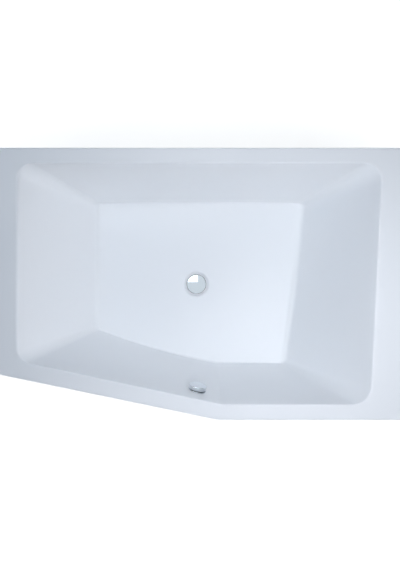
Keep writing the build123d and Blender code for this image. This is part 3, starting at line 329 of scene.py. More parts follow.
def mesh_object(name, vertices, faces, smooth_angle=35):
    """A mesh object with smooth shading up to an angle."""
    mesh = bpy.data.meshes.new(name)
    mesh.from_pydata([tuple(map(float, v)) for v in vertices], [], faces)
    mesh.validate()
    mesh.update()
    piece = bpy.data.objects.new(name, mesh)
    bpy.context.scene.collection.objects.link(piece)
    orient(piece)
    shade(piece, smooth_angle)
    return piece


def orient(piece):
    """Turns all faces of a closed mesh outwards."""
    work = bmesh.new()
    work.from_mesh(piece.data)
    bmesh.ops.recalc_face_normals(work, faces=work.faces)
    work.to_mesh(piece.data)
    work.free()


def shade(piece, angle):
    """Smooth shading, with edges sharper than the angle kept sharp."""
    mesh = piece.data
    for polygon in mesh.polygons:
        polygon.use_smooth = True
    mesh.set_sharp_from_angle(angle=math.radians(angle))


def ring_mesh(name, rings, closed=True, smooth_angle=35):
    """A mesh through rings of equal count. closed joins the last ring to the first."""
    count = len(rings[0])
    vertices = np.vstack(rings)
    faces = []
    last = len(rings) if closed else len(rings) - 1
    for r in range(last):
        low, high = r * count, ((r + 1) % len(rings)) * count
        for i in range(count):
            j = (i + 1) % count
            faces.append((low + i, low + j, high + j, high + i))
    return mesh_object(name, vertices, faces, smooth_angle)


def across_wall(thickness):
    """A sheet's thickness measured level through the sloping end wall."""
    return thickness / math.cos(math.atan2(RUN_LEFT, DEPTH))


def floor_rings(edge, inner, steps):
    """Level rings from a circle near the waste out to the edge of the floor."""
    rings = []
    for k in range(steps):
        s = (k / steps) ** 0.85
        rings.append(inner + (edge - inner) * s)
    return rings


def basin_side(grow, floor_z, rim_z, extra_r):
    """One side of the basin's sheet: rings from the floor's turn up the wall to the rim's turn."""
    top = basin_outline(rim_z, grow)
    bottom = basin_outline(floor_z, grow)
    return wall_rings(top, bottom, side_values(RIM_TURN) + extra_r[0], side_values(FLOOR_TURN) + extra_r[1])


def seat_rings(ring, drop):
    """The waste seat seen from above, as rings out from the hole. drop lowers it all."""
    top_r = SEAT_R + SEAT_DEPTH
    profile = [(DRAIN_HOLE_R, -SEAT_DEPTH), (DRAIN_HOLE_R + SEAT_LEDGE, -SEAT_DEPTH)]
    soft = SEAT_SOFT
    for k in range(7):
        s = k / 6
        x = SEAT_R - soft + (2 * soft) * s
        profile.append((x, -SEAT_DEPTH + soft * s * s))
    for k in range(7):
        s = k / 6
        x = top_r - soft + (2 * soft) * s
        profile.append((x, -soft * (1 - s) ** 2))
    return [circle_like(ring, r + drop, FLOOR_Z + z - drop) for r, z in profile]


def overflow_place():
    """Where the overflow sits: on the wall, Z into the basin, Y up the wall."""
    joint = next(j for j in frame["joints"] if j["child"] == "overflow_knob")
    inward = Vector(joint["axis"]).normalized()
    side = Vector((0, 0, 1)).cross(inward).normalized()
    up = inward.cross(side)
    place = Matrix((side, up, inward)).transposed().to_4x4()
    place.translation = Vector(joint["pos_m"])
    return place


OVERFLOW = overflow_place()


def object_of(work, name):
    """A scene object from a finished mesh in work."""
    mesh = bpy.data.meshes.new(name)
    work.to_mesh(mesh)
    work.free()
    piece = bpy.data.objects.new(name, mesh)
    bpy.context.scene.collection.objects.link(piece)
    return piece


def cylinder_cutter(radius, half, place):
    """A plain round cutter for openings."""
    work = bmesh.new()
    sizes = {"radius1": radius, "radius2": radius, "depth": 2 * half}
    bmesh.ops.create_cone(work, segments=96, cap_ends=True, matrix=place, **sizes)
    return object_of(work, "cutter")


def settled(piece, smooth_angle):
    """Makes a piece's modifiers part of its mesh."""
    bpy.context.view_layer.update()
    graph = bpy.context.evaluated_depsgraph_get()
    mesh = bpy.data.meshes.new_from_object(piece.evaluated_get(graph))
    piece.modifiers.clear()
    piece.data = mesh
    shade(piece, smooth_angle)
    return piece


def cut(piece, cutter, smooth_angle=35):
    """Takes a cutter's shape out of a piece, and removes the cutter."""
    modifier = piece.modifiers.new("cut", "BOOLEAN")
    modifier.operation = "DIFFERENCE"
    modifier.object = cutter
    modifier.solver = "EXACT"
    settled(piece, smooth_angle)
    bpy.data.objects.remove(cutter)


def place_at(x, y, z, turn=0.0):
    """A place in space, turned about Z."""
    return Matrix.Translation((x, y, z)) @ Matrix.Rotation(turn, 4, "Z")


def turned_mesh(name, profile, place, segments=96, smooth_angle=30):
    """A piece turned about its own Z from radius and height pairs; radius 0 closes it."""
    work = bmesh.new()
    rows = []
    for radius, z in profile:
        if radius < 1e-7:
            rows.append([work.verts.new((0, 0, z))])
            continue
        angles = [2 * math.pi * k / segments for k in range(segments)]
        rows.append([work.verts.new((radius * math.cos(a), radius * math.sin(a), z)) for a in angles])
    pairs = list(zip(rows, rows[1:]))
    if len(rows[0]) > 1 and len(rows[-1]) > 1:
        pairs.append((rows[-1], rows[0]))
    for low, high in pairs:
        for k in range(segments):
            n = (k + 1) % segments
            if len(low) == 1 and len(high) == 1:
                continue
            if len(low) == 1:
                work.faces.new((low[0], high[n], high[k]))
            elif len(high) == 1:
                work.faces.new((low[k], low[n], high[0]))
            else:
                work.faces.new((low[k], low[n], high[n], high[k]))
    bmesh.ops.recalc_face_normals(work, faces=work.faces)
    piece = object_of(work, name)
    piece.data.transform(place)
    shade(piece, smooth_angle)
    return piece


def arc(centre, radius, start, end, steps):
    """Points of an arc in a profile, angles in degrees."""
    angles = [math.radians(start + (end - start) * k / steps) for k in range(steps + 1)]
    return [(centre[0] + radius * math.cos(a), centre[1] + radius * math.sin(a)) for a in angles]


def joined(name, pieces, smooth_angle=30):
    """Several pieces made into one."""
    work = bmesh.new()
    for piece in pieces:
        work.from_mesh(piece.data)
        bpy.data.objects.remove(piece)
    whole = object_of(work, name)
    shade(whole, smooth_angle)
    return whole


def softened(piece, width, segments=3, smooth_angle=40):
    """Rounds a piece's sharp edges."""
    modifier = piece.modifiers.new("soft", "BEVEL")
    modifier.width = width
    modifier.segments = segments
    modifier.limit_method = "ANGLE"
    modifier.angle_limit = math.radians(30)
    return settled(piece, smooth_angle)


def quarter_turn(steps):
    """Sine and cosine at even steps of a quarter turn."""
    angles = [math.pi / 2 * k / steps for k in range(steps + 1)]
    return [(math.sin(a), math.cos(a)) for a in angles]


def tub():
    """The acrylic sheet as one closed mesh."""
    inside = basin_side(0, FLOOR_Z, RIM_Z, (0, 0))
    seat = seat_rings(inside[0], 0)
    floor = floor_rings(inside[0], seat[-1], 9)[1:]
    top = seat + floor + inside
    deck_edge = outer_outline(-RIM_EDGE_R, RIM_Z)
    top += between_rings(inside[-1], deck_edge, 6)
    top += [outer_outline(-RIM_EDGE_R * (1 - s), RIM_Z - RIM_EDGE_R * (1 - c)) for s, c in quarter_turn(6)]
    top.append(outer_outline(0, (RIM_Z + LIP_Z) / 2))
    foot_r = LIP_EDGE_R
    top += [outer_outline(-foot_r * (1 - c), LIP_Z + foot_r * (1 - s)) for s, c in quarter_turn(3)]
    top += [outer_outline(-SHELL_T + foot_r * (1 - s), LIP_Z + foot_r * (1 - c)) for s, c in quarter_turn(3)]
    top.append(outer_outline(-SHELL_T, DECK_Z - UNDER_RIM_TURN))
    top.append(outer_outline(-SHELL_T - UNDER_RIM_TURN, DECK_Z))
    grow = across_wall(SHELL_T)
    outside = basin_side(grow, FLOOR_Z - SHELL_T, DECK_Z, (-3 * MM, SHELL_T))
    top += between_rings(top[-1], outside[-1], 4)
    under = outside[::-1]
    boss = seat_rings(outside[0], SHELL_T)
    boss[0] = circle_like(outside[0], DRAIN_HOLE_R, FLOOR_Z - SEAT_DEPTH - SHELL_T)
    under += floor_rings(outside[0], boss[-1], 9)[:0:-1] + boss[::-1]
    piece = ring_mesh("acrylic_tub", top + under)
    cut(piece, cylinder_cutter(OVERFLOW_HOLE_R, CUTTER_HALF, OVERFLOW))
    return piece


def uneven(ring, middle, depth, fine=40.0):
    """A ring drawn towards the middle here and there, as sprayed resin is."""
    moved = ring.copy()
    inward = middle - ring
    for k, point in enumerate(ring):
        spot = Vector(point)
        amount = 0.5 + 0.5 * noise.noise(spot * fine) + 0.35 * noise.noise(spot * fine * 3.1)
        moved[k] = point + inward[k] * min(max(amount, 0), 1) * depth
    return moved


def laminate_side(thickness, top_z, steps=56):
    """Rings up one side of the resin skin, to just below its edge."""
    grow = across_wall(thickness)
    top, bottom = basin_outline(DECK_Z, grow), basin_outline(FLOOR_Z - thickness, grow)
    rim_turn = np.full(len(top), 1 * MM)
    rings = wall_rings(top, bottom, rim_turn, side_values(FLOOR_TURN) + thickness, steps)
    return [ring for ring in rings if ring[:, 2].max() < top_z - 4 * MM]


def laminate_edge(thickness, top_z, last):
    """The skin's upper edge, which wanders down towards the last ring below it."""
    edge = basin_outline(top_z, across_wall(thickness))
    wave = np.array([noise.noise(Vector(p) * 25) + 0.5 * noise.noise(Vector(p) * 90) for p in edge])
    drop = (2.5 + 2.5 * np.clip(wave, -1, 1))[:, None] * MM
    return edge + unit(last - edge) * drop


def laminate():
    """The sprayed resin skin: outside of the walls and below the floor, with an uneven edge."""
    inner_t, outer_t = SHELL_T + LAMINATE_GAP, SHELL_T + LAMINATE_T
    top_z = DECK_Z - LAMINATE_BELOW_DECK
    outer = laminate_side(outer_t, top_z)
    inner = laminate_side(inner_t, top_z)
    outer_edge = laminate_edge(outer_t, top_z, outer[-1])
    inner_edge = laminate_edge(inner_t, top_z, inner[-1])
    opening_r = SEAT_R + SEAT_DEPTH + SHELL_T + 3 * MM
    under = floor_rings(outer[0], circle_like(outer[0], opening_r, FLOOR_Z - outer_t), 12)
    over = floor_rings(inner[0], circle_like(inner[0], opening_r, FLOOR_Z - inner_t), 12)
    rough = [uneven(a, b, 0.55) for a, b in zip(outer[1:], inner[1:])]
    rings = over + inner + [inner_edge, outer_edge] + rough[::-1] + [outer[0]] + under[::-1]
    piece = ring_mesh("sprayed_laminate", rings, smooth_angle=60)
    cut(piece, cylinder_cutter(OVERFLOW_HOLE_R, CUTTER_HALF, OVERFLOW), 60)
    return piece


def front_run(inset, steps=10):
    """The line behind the front edge: left end, rounded kink, right end."""
    end = SHELL_T + PANEL_END_GAP
    corners = moved_sides(outer_corners(), [0, -end, -inset, -inset, -end])
    left, kink, right = corners[4], corners[3], corners[2]
    u = (kink - left) / np.linalg.norm(kink - left)
    v = (right - kink) / np.linalg.norm(right - kink)
    turn = math.acos(float(u @ v))
    radius = PANEL_KINK_R - inset
    begin = kink - u * radius * math.tan(turn / 2)
    centre = begin + rotated(u, math.pi / 2) * radius
    bend = [centre + rotated(begin - centre, turn * k / steps) for k in range(steps + 1)]
    return [left] + bend + [right]


def panel():
    """The acrylic apron: one sheet round the kink, with a soft foot and a return."""
    far = PANEL_INSET + PANEL_T
    back = PANEL_INSET + PANEL_RETURN
    inner_z = PANEL_LOW + PANEL_T
    foot = (PANEL_INSET + PANEL_FOOT_R, PANEL_LOW + PANEL_FOOT_R)
    profile = [(PANEL_INSET, PANEL_TOP)] + arc(foot, PANEL_FOOT_R, 180, 270, 6)
    profile += [(back, PANEL_LOW), (back, inner_z)]
    profile += [(far + PANEL_INNER_CHAMFER, inner_z), (far, inner_z + PANEL_INNER_CHAMFER), (far, PANEL_TOP)]
    runs = [front_run(inset) for inset, _ in profile]
    stations = len(runs[0])
    vertices, faces = [], []
    for s in range(stations):
        for run, (_, z) in zip(runs, profile):
            vertices.append((run[s][0], run[s][1], z))
    n = len(profile)
    for s in range(stations - 1):
        for k in range(n):
            j = (k + 1) % n
            faces.append((s * n + k, s * n + j, (s + 1) * n + j, (s + 1) * n + k))
    faces.append(tuple(range(n)))
    faces.append(tuple((stations - 1) * n + k for k in reversed(range(n))))
    piece = mesh_object("acrylic_panel", vertices, faces, 35)
    return softened(piece, PANEL_EDGE_R)


def drain_cap():
    """The domed waste cap with its rounded edge."""
    low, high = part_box("plug_cap")
    middle = (low + high) / 2
    radius = (high.x - low.x) / 2 - CAP_SETBACK
    top = high.z - low.z
    rise = top - CAP_EDGE_H
    sphere_r = (radius**2 + rise**2) / (2 * rise)
    lean = math.asin((radius - CAP_EDGE_R) / sphere_r)
    angles = [lean * k / 40 for k in range(41)]
    dome = [(sphere_r * math.sin(a), top - sphere_r * (1 - math.cos(a))) for a in angles]
    edge = arc((radius - CAP_EDGE_R, CAP_EDGE_H - CAP_EDGE_DROP), CAP_EDGE_R, 60, 0, 4)
    inner = radius - CAP_EDGE_R
    foot = [(radius, SHADOW_RING_H), (inner, SHADOW_RING_H), (inner, 0), (CAP_SOCKET_R, 0)]
    foot += [(CAP_SOCKET_R, CAP_SOCKET_DEPTH), (0, CAP_SOCKET_DEPTH)]
    return turned_mesh("waste_cap", dome + edge + foot, place_at(middle.x, middle.y, low.z), 160)


def cap_shadow_ring():
    """A thin black ring, with the rubber finish, that shows round the foot of the waste cap: painted shadow of the
    gap under the cap's edge.
    """
    low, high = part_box("plug_cap")
    middle = (low + high) / 2
    outer = (high.x - low.x) / 2
    inner = outer - SHADOW_RING_W
    soft = SHADOW_RING_ROUND
    profile = [(inner, 0), (outer - soft, 0), (outer, 0.4 * MM), (outer, 0.9 * MM)]
    profile += [(outer - soft, SHADOW_RING_H), (inner, SHADOW_RING_H)]
    return turned_mesh("cap_shadow_ring", profile, place_at(middle.x, middle.y, low.z), 160)


def knob():
    """The rotary knob: a shallow cup with softly rounded edges."""
    front = KNOB_BACK + KNOB_T
    under_face = front - KNOB_FACE_T
    boss_end = KNOB_BACK + KNOB_BOSS_SHORT
    inside_r = KNOB_R - KNOB_WALL
    profile = [(0, front), (KNOB_R * 0.35, front), (KNOB_R * 0.7, front)]
    profile += arc((KNOB_R - KNOB_FRONT_R, front - KNOB_FRONT_R), KNOB_FRONT_R, 90, 0, 8)
    profile += [(KNOB_R, front - KNOB_T / 2)]
    profile += arc((KNOB_R - KNOB_BACK_R, KNOB_BACK + KNOB_BACK_R), KNOB_BACK_R, 0, -90, 4)
    profile += [(inside_r, KNOB_BACK), (inside_r, under_face - INNER_SOFT), (inside_r - INNER_SOFT, under_face)]
    profile += [(KNOB_BOSS_R + INNER_SOFT, under_face), (KNOB_BOSS_R, under_face - INNER_SOFT)]
    profile += [(KNOB_BOSS_R, boss_end), (M10_BORE_R, boss_end), (M10_BORE_R, under_face), (0, under_face)]
    return turned_mesh("rotary_knob", profile, OVERFLOW, 160)


def threaded_rod(name, node):
    """A metric threaded rod with a helical thread."""
    low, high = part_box(node)
    radius = (high.x - low.x) / 2
    segments, per_turn = 28, 7
    height = high.z - low.z
    rows = int(height / THREAD_PITCH * per_turn)
    middle = (low + high) / 2
    vertices, faces = [], []
    for r in range(rows + 1):
        z = height * r / rows
        fade = min(1, (height - z) / THREAD_PITCH + 0.15, z / (1 * MM) + 0.5)
        for s in range(segments):
            a = 2 * math.pi * s / segments
            phase = (z / THREAD_PITCH - s / segments) % 1
            groove = 1 - abs(2 * phase - 1)
            sunk = THREAD_DEPTH * min(max(1.25 * groove - 0.12, 0), 1)
            reach = (radius - sunk) * min(1, fade + 0.55)
            vertices.append((middle.x + reach * math.cos(a), middle.y + reach * math.sin(a), low.z + z))
    for r in range(rows):
        for s in range(segments):
            n = (s + 1) % segments
            below, above = r * segments, (r + 1) * segments
            faces.append((below + s, below + n, above + n, above + s))
    faces.append(tuple(reversed(range(segments))))
    faces.append(tuple(rows * segments + s for s in range(segments)))
    return mesh_object(name, vertices, faces, 40)


def pad(name, node):
    """A moulded foot: soft-edged disc with a raised socket and radial ribs."""
    low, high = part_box(node)
    middle = (low + high) / 2
    radius = (high.x - low.x) / 2
    height = high.z - low.z
    rim_r = radius - PAD_RIM_W
    edge_r = radius - PAD_EDGE_R
    socket_r = PAD_SOCKET_R
    profile = [(0, PAD_SOLE_LIFT), (rim_r, PAD_SOLE_LIFT), (rim_r, 0)]
    profile += arc((edge_r, PAD_EDGE_R), PAD_EDGE_R, -90, 0, 4)
    profile += arc((edge_r, PAD_EDGE_TOP), PAD_EDGE_R, 0, 80, 4)
    profile += [(socket_r + 5 * MM, 6.2 * MM), (socket_r + 2 * MM, 7.2 * MM), (socket_r + 0.4 * MM, 9 * MM)]
    profile += arc((socket_r - 1 * MM, height - 1 * MM), 1 * MM, 0, 90, 3)
    profile += [(M10_BORE_R, height), (M10_BORE_R, height / 2), (0, height / 2)]
    pieces = [turned_mesh(name, profile, place_at(middle.x, middle.y, low.z), 96)]
    rib_end = radius - RIB_FROM_EDGE
    reach = (socket_r + rib_end) / 2
    for turn in range(RIB_COUNT):
        spread = 2 * math.pi * turn / RIB_COUNT
        place = place_at(middle.x, middle.y, low.z + RIB_MIDDLE_Z, spread) @ Matrix.Translation((reach, 0, 0))
        rib = box_mesh((rib_end - socket_r, RIB_T, RIB_H), place)
        for vertex in rib.data.vertices:
            away = math.hypot(vertex.co.x - middle.x, vertex.co.y - middle.y)
            if vertex.co.z > low.z + 6 * MM and away > reach:
                vertex.co.z = low.z + RIB_OUTER_Z
        pieces.append(rib)
    return joined(name, pieces)


def box_mesh(size, place):
    """A plain box about its own middle."""
    work = bmesh.new()
    bmesh.ops.create_cube(work, size=1, matrix=place @ Matrix.Diagonal((*size, 1)))
    return object_of(work, "box")


def hexagon_nut(across, height, bore_r, place):
    """A hexagon nut with chamfered corners; across is from flat to flat."""
    steps = 10
    flat_r = across / 2
    ease = NUT_FACE_SHARE * flat_r
    lead_r = bore_r + NUT_BORE_LEAD
    angles = [2 * math.pi * k / (6 * steps) for k in range(6 * steps)]
    hexagon = [flat_r / math.cos((a % (math.pi / 3)) - math.pi / 6) for a in angles]
    drop = [max(0, (r - ease) * math.tan(NUT_CORNER_SLOPE)) for r in hexagon]

    def level(radii, heights):
        points = [(r * math.cos(a), r * math.sin(a), z) for r, a, z in zip(radii, angles, heights)]
        return np.array([place @ Vector(point) for point in points])

    def circle(radius, z):
        return level([radius] * len(angles), [z] * len(angles))

    rings = [circle(bore_r, NUT_BORE_LEAD_H), circle(lead_r, 0), circle(ease, 0)]
    rings += [level(hexagon, drop), level(hexagon, [height - d for d in drop])]
    rings += [circle(ease, height), circle(lead_r, height), circle(bore_r, height - NUT_BORE_LEAD_H)]
    return ring_mesh("nut", rings, True, 25)


def studio():
    """The camera of the photograph, its lamps, and the plain floor."""
    scene = bpy.context.scene
    scene.view_settings.view_transform = "Standard"
    camera_data = bpy.data.cameras.new("camera")
    camera_data.sensor_fit = "VERTICAL"
    camera_data.sensor_height = SENSOR_H
    camera_data.lens = CAMERA_LENS
    camera_data.clip_end = 50
    camera = bpy.data.objects.new("camera", camera_data)
    scene.collection.objects.link(camera)
    camera.location = (0, CAMERA_Y, RIM_Z + CAMERA_ABOVE_RIM)
    scene.camera = camera

    lights()
    sky_and_backdrop(scene)
    r, z = FLOOR_REACH, -FLOOR_BELOW
    floor = mesh_object("studio_floor", [(-r, -r, z), (r, -r, z), (r, r, z), (-r, r, z)], [(0, 1, 2, 3)])
    floor.data.materials.append(floor_material())


def lights():
    """The lamps: three that shade the basin, one large mirrored one, and low ones for the sides."""
    white = (1, 1, 1)
    centre, low_centre = (0, 0, 0.4), (0, 0, 0.25)
    shading = [
        lamp("over", (0.3, -0.3, 2.2), centre, (0.7, 0.7), 14.2, (0.93, 0.945, 1.0)),
        lamp("over_right", (0.6, -0.1, 2.0), centre, (0.6, 0.6), 7.0, (0.88, 0.93, 1.0)),
        lamp("left", (-1.8, 0.9, 3.0), centre, (0.9, 0.9), 5.0, (0.16, 0.56, 1.0)),
    ]
    mirrored = [
        lamp("softbox", (-1.15, 1.7, 4.0), (-1.15, 1.7, 0), (2.9, 2.4), 25, white),
        lamp("edge_left", (-3.6, 0.3, 2.9), centre, (1.4, 3.2), 36, white),
        lamp("edge_back", (0.2, 3.6, 2.9), centre, (3.2, 1.4), 36, white),
    ]
    shading += [
        lamp("low_front", (0.9, -3.2, 0.12), (0.1, 0, 0.25), (2.4, 0.9), 56, white),
        lamp("low_back", (-1.2, 3.0, 0.12), low_centre, (2.4, 0.9), 30, white),
        lamp("low_left", (-3.2, -0.6, 0.12), low_centre, (2.0, 0.9), 26, white),
        lamp("low_right", (3.2, 0.3, 0.12), low_centre, (2.0, 0.9), 26, white),
        lamp("under", (0.3, -0.4, -2.5), (0, 0, 0), (2.0, 2.0), 24, white),
    ]
    for thing in shading:
        thing.visible_glossy = False
    for thing in mirrored:
        thing.visible_diffuse = False


def sky_and_backdrop(scene):
    """White behind the object, a dim sky on it, and a sky with a dark horizon in reflections."""
    world = bpy.data.worlds.new("world")
    scene.world = world
    world.use_nodes = True
    nodes, links = world.node_tree.nodes, world.node_tree.links
    nodes.clear()
    out = nodes.new("ShaderNodeOutputWorld")
    path = nodes.new("ShaderNodeLightPath")
    sky = background(nodes, (0.80, 0.90, 1.05), 0.12)
    mirrored = background(nodes, (0.86, 0.94, 1.0), 0.80)
    where = nodes.new("ShaderNodeTexCoord")
    split = nodes.new("ShaderNodeSeparateXYZ")
    links.new(where.outputs["Generated"], split.inputs["Vector"])
    horizon = map_range(nodes, (0.38, 0.76), (0.10, 0.92))
    links.new(split.outputs["Z"], horizon.inputs["Value"])
    links.new(horizon.outputs["Result"], mirrored.inputs["Strength"])
    seen = background(nodes, (1, 1, 1), 1.0)
    lit = mixed(nodes, links, path.outputs["Is Glossy Ray"], sky.outputs[0], mirrored.outputs[0])
    whole = mixed(nodes, links, path.outputs["Is Camera Ray"], lit, seen.outputs[0])
    links.new(whole, out.inputs["Surface"])


def mixed(nodes, links, share, first, second):
    """A shader between two others, by a share that comes from a node."""
    mix = nodes.new("ShaderNodeMixShader")
    links.new(share, mix.inputs["Fac"])
    links.new(first, mix.inputs[1])
    links.new(second, mix.inputs[2])
    return mix.outputs[0]


def map_range(nodes, source, target):
    """A node that maps one span of values onto another."""
    span = nodes.new("ShaderNodeMapRange")
    span.inputs["From Min"].default_value, span.inputs["From Max"].default_value = source
    span.inputs["To Min"].default_value, span.inputs["To Max"].default_value = target
    return span


def background(nodes, colour, strength):
    """A plain background shader."""
    made = nodes.new("ShaderNodeBackground")
    made.inputs["Color"].default_value = (*colour, 1)
    made.inputs["Strength"].default_value = strength
    return made


def lamp(name, place, aim, size, power, colour):
    """A soft lamp that the camera doesn't see."""
    data = bpy.data.lights.new(name, "AREA")
    data.shape = "RECTANGLE"
    data.size, data.size_y = size
    data.energy = power
    data.color = colour
    thing = bpy.data.objects.new(name, data)
    bpy.context.scene.collection.objects.link(thing)
    thing.location = place
    thing.rotation_euler = (Vector(aim) - Vector(place)).to_track_quat("-Z", "Y").to_euler()
    thing.visible_camera = False
    return thing


def material(name, colour, roughness, metallic=0.0):
    """A principled material, with its nodes, links and shader."""
    made = bpy.data.materials.new(name)
    made.use_nodes = True
    nodes, links = made.node_tree.nodes, made.node_tree.links
    shader = nodes["Principled BSDF"]
    shader.inputs["Base Color"].default_value = (*colour, 1)
    shader.inputs["Roughness"].default_value = roughness
    shader.inputs["Metallic"].default_value = metallic
    return made, nodes, links, shader


def floor_material():
    """White floor that keeps the object's shadow near it, and is clear from below. Its glow is weaker near the
    object, which paints shade round it.
    """
    made, nodes, links, shader = material("studio_white", (0.82, 0.82, 0.82), 0.8)
    where = nodes.new("ShaderNodeTexCoord")
    grain = nodes.new("ShaderNodeTexNoise")
    grain.inputs["Scale"].default_value = 30
    links.new(where.outputs["Object"], grain.inputs["Vector"])
    relief = nodes.new("ShaderNodeBump")
    relief.inputs["Distance"].default_value = 0.0002
    links.new(grain.outputs["Fac"], relief.inputs["Height"])
    links.new(relief.outputs["Normal"], shader.inputs["Normal"])
    out = nodes["Material Output"]
    # The glow drops from 1 beyond 1.7 m to 0.76 within 0.8 m of the middle: painted shade round the object
    away = nodes.new("ShaderNodeVectorMath")
    away.operation = "LENGTH"
    links.new(where.outputs["Object"], away.inputs[0])
    fade = map_range(nodes, (0.8, 1.7), (0.76, 1.0))
    links.new(away.outputs["Value"], fade.inputs["Value"])
    path = nodes.new("ShaderNodeLightPath")
    lift = nodes.new("ShaderNodeMath")
    lift.operation = "MULTIPLY"
    links.new(fade.outputs["Result"], lift.inputs[1])
    either_ray = nodes.new("ShaderNodeMath")
    either_ray.operation = "MAXIMUM"
    links.new(path.outputs["Is Camera Ray"], either_ray.inputs[0])
    links.new(path.outputs["Is Glossy Ray"], either_ray.inputs[1])
    links.new(either_ray.outputs[0], lift.inputs[0])
    glow = nodes.new("ShaderNodeEmission")
    links.new(lift.outputs[0], glow.inputs["Strength"])
    total = nodes.new("ShaderNodeAddShader")
    links.new(shader.outputs[0], total.inputs[0])
    links.new(glow.outputs[0], total.inputs[1])
    side = nodes.new("ShaderNodeNewGeometry")
    clear = nodes.new("ShaderNodeBsdfTransparent")
    either = mixed(nodes, links, side.outputs["Backfacing"], total.outputs[0], clear.outputs[0])
    links.new(either, out.inputs["Surface"])
    return made


def acrylic():
    """Gloss sanitary acrylic, faintly bluish white."""
    made, _, _, shader = material("gloss_acrylic", (0.945, 0.958, 0.972), 0.16)
    shader.inputs["IOR"].default_value = 1.49
    surface(made, rough=(0.13, 0.20), scale=9, bump=(55, 0.00004))
    return made


def surface(made, rough, scale, bump=None, tint=None):
    """Roughness that varies, a fine bump, and a tint between two colours."""
    nodes, links = made.node_tree.nodes, made.node_tree.links
    shader = nodes["Principled BSDF"]
    where = nodes.new("ShaderNodeTexCoord")
    cloud = nodes.new("ShaderNodeTexNoise")
    cloud.inputs["Scale"].default_value = scale
    cloud.inputs["Detail"].default_value = 4
    links.new(where.outputs["Object"], cloud.inputs["Vector"])
    span = map_range(nodes, (0.3, 0.7), rough)
    links.new(cloud.outputs["Fac"], span.inputs["Value"])
    links.new(span.outputs["Result"], shader.inputs["Roughness"])
    if tint:
        blend = nodes.new("ShaderNodeMix")
        blend.data_type = "RGBA"
        blend.inputs["A"].default_value = (*tint[0], 1)
        blend.inputs["B"].default_value = (*tint[1], 1)
        links.new(cloud.outputs["Fac"], blend.inputs["Factor"])
        links.new(blend.outputs["Result"], shader.inputs["Base Color"])
    if bump:
        grain = nodes.new("ShaderNodeTexNoise")
        grain.inputs["Scale"].default_value = bump[0]
        grain.inputs["Detail"].default_value = 3
        links.new(where.outputs["Object"], grain.inputs["Vector"])
        relief = nodes.new("ShaderNodeBump")
        relief.inputs["Distance"].default_value = bump[1]
        links.new(grain.outputs["Fac"], relief.inputs["Height"])
        links.new(relief.outputs["Normal"], shader.inputs["Normal"])


def voronoi_flakes(made, scale, stretch, colours, bump_depth):
    """Flakes or spangle: cells of differing tone, with their edges in relief."""
    nodes, links = made.node_tree.nodes, made.node_tree.links
    shader = nodes["Principled BSDF"]
    where = nodes.new("ShaderNodeTexCoord")
    spread = nodes.new("ShaderNodeMapping")
    spread.inputs["Scale"].default_value = stretch
    links.new(where.outputs["Object"], spread.inputs["Vector"])
    bend = nodes.new("ShaderNodeTexNoise")
    bend.inputs["Scale"].default_value = scale * 0.6
    links.new(spread.outputs["Vector"], bend.inputs["Vector"])
    push = nodes.new("ShaderNodeVectorMath")
    push.operation = "MULTIPLY_ADD"
    push.inputs[1].default_value = (0.012,) * 3
    links.new(bend.outputs["Color"], push.inputs[0])
    links.new(spread.outputs["Vector"], push.inputs[2])
    cells = nodes.new("ShaderNodeTexVoronoi")
    cells.inputs["Scale"].default_value = scale
    links.new(push.outputs["Vector"], cells.inputs["Vector"])
    split = nodes.new("ShaderNodeSeparateColor")
    links.new(cells.outputs["Color"], split.inputs["Color"])
    ramp = nodes.new("ShaderNodeValToRGB")
    ramp.color_ramp.elements[0].color = (*colours[0], 1)
    ramp.color_ramp.elements[1].color = (*colours[-1], 1)
    for k, colour in enumerate(colours[1:-1], 1):
        ramp.color_ramp.elements.new(k / (len(colours) - 1)).color = (*colour, 1)
    links.new(split.outputs["Red"], ramp.inputs["Fac"])
    links.new(ramp.outputs["Color"], shader.inputs["Base Color"])
    relief = nodes.new("ShaderNodeBump")
    relief.inputs["Distance"].default_value = bump_depth
    links.new(cells.outputs["Distance"], relief.inputs["Height"])
    links.new(relief.outputs["Normal"], shader.inputs["Normal"])
    rough = shader.inputs["Roughness"].default_value
    span = map_range(nodes, (0, 1), (rough * 0.8, min(1, rough * 1.15)))
    links.new(split.outputs["Green"], span.inputs["Value"])
    links.new(span.outputs["Result"], shader.inputs["Roughness"])


def glass_resin():
    """Sprayed glass-fibre resin: greyish cream, with chopped strands."""
    made, nodes, links, shader = material("sprayed_resin", (0.70, 0.70, 0.63), 0.42)
    surface(made, rough=(0.30, 0.60), scale=18, tint=((0.60, 0.61, 0.53), (0.80, 0.80, 0.74)))
    where = nodes.new("ShaderNodeTexCoord")
    total = None
    for turn, scale in ((0.3, 110), (1.4, 95), (2.3, 120)):
        spin = nodes.new("ShaderNodeMapping")
        spin.inputs["Rotation"].default_value = (turn, turn * 2, turn * 3)
        spin.inputs["Scale"].default_value = (0.08, 1, 1)
        links.new(where.outputs["Object"], spin.inputs["Vector"])
        strand = nodes.new("ShaderNodeTexNoise")
        strand.inputs["Scale"].default_value = scale * 2.5
        strand.inputs["Detail"].default_value = 2
        strand.inputs["Distortion"].default_value = 0.6
        links.new(spin.outputs["Vector"], strand.inputs["Vector"])
        if total is None:
            total = strand.outputs["Fac"]
        else:
            more = nodes.new("ShaderNodeMath")
            more.operation = "MAXIMUM"
            links.new(total, more.inputs[0])
            links.new(strand.outputs["Fac"], more.inputs[1])
            total = more.outputs[0]
    relief = nodes.new("ShaderNodeBump")
    relief.inputs["Distance"].default_value = 0.0016
    links.new(total, relief.inputs["Height"])
    links.new(relief.outputs["Normal"], shader.inputs["Normal"])
    return made


def moulded(name, colour, rough=(0.30, 0.42)):
    """Moulded plastic with a fine grain."""
    made, _, _, _ = material(name, colour, rough[0])
    surface(made, rough=rough, scale=40, bump=(900, 0.00006))
    return made


def metal(name, colour, rough, bump=(300, 0.00003)):
    """Bare or plated metal."""
    made, _, _, _ = material(name, colour, rough[0], 1.0)
    surface(made, rough=rough, scale=60, bump=bump)
    return made


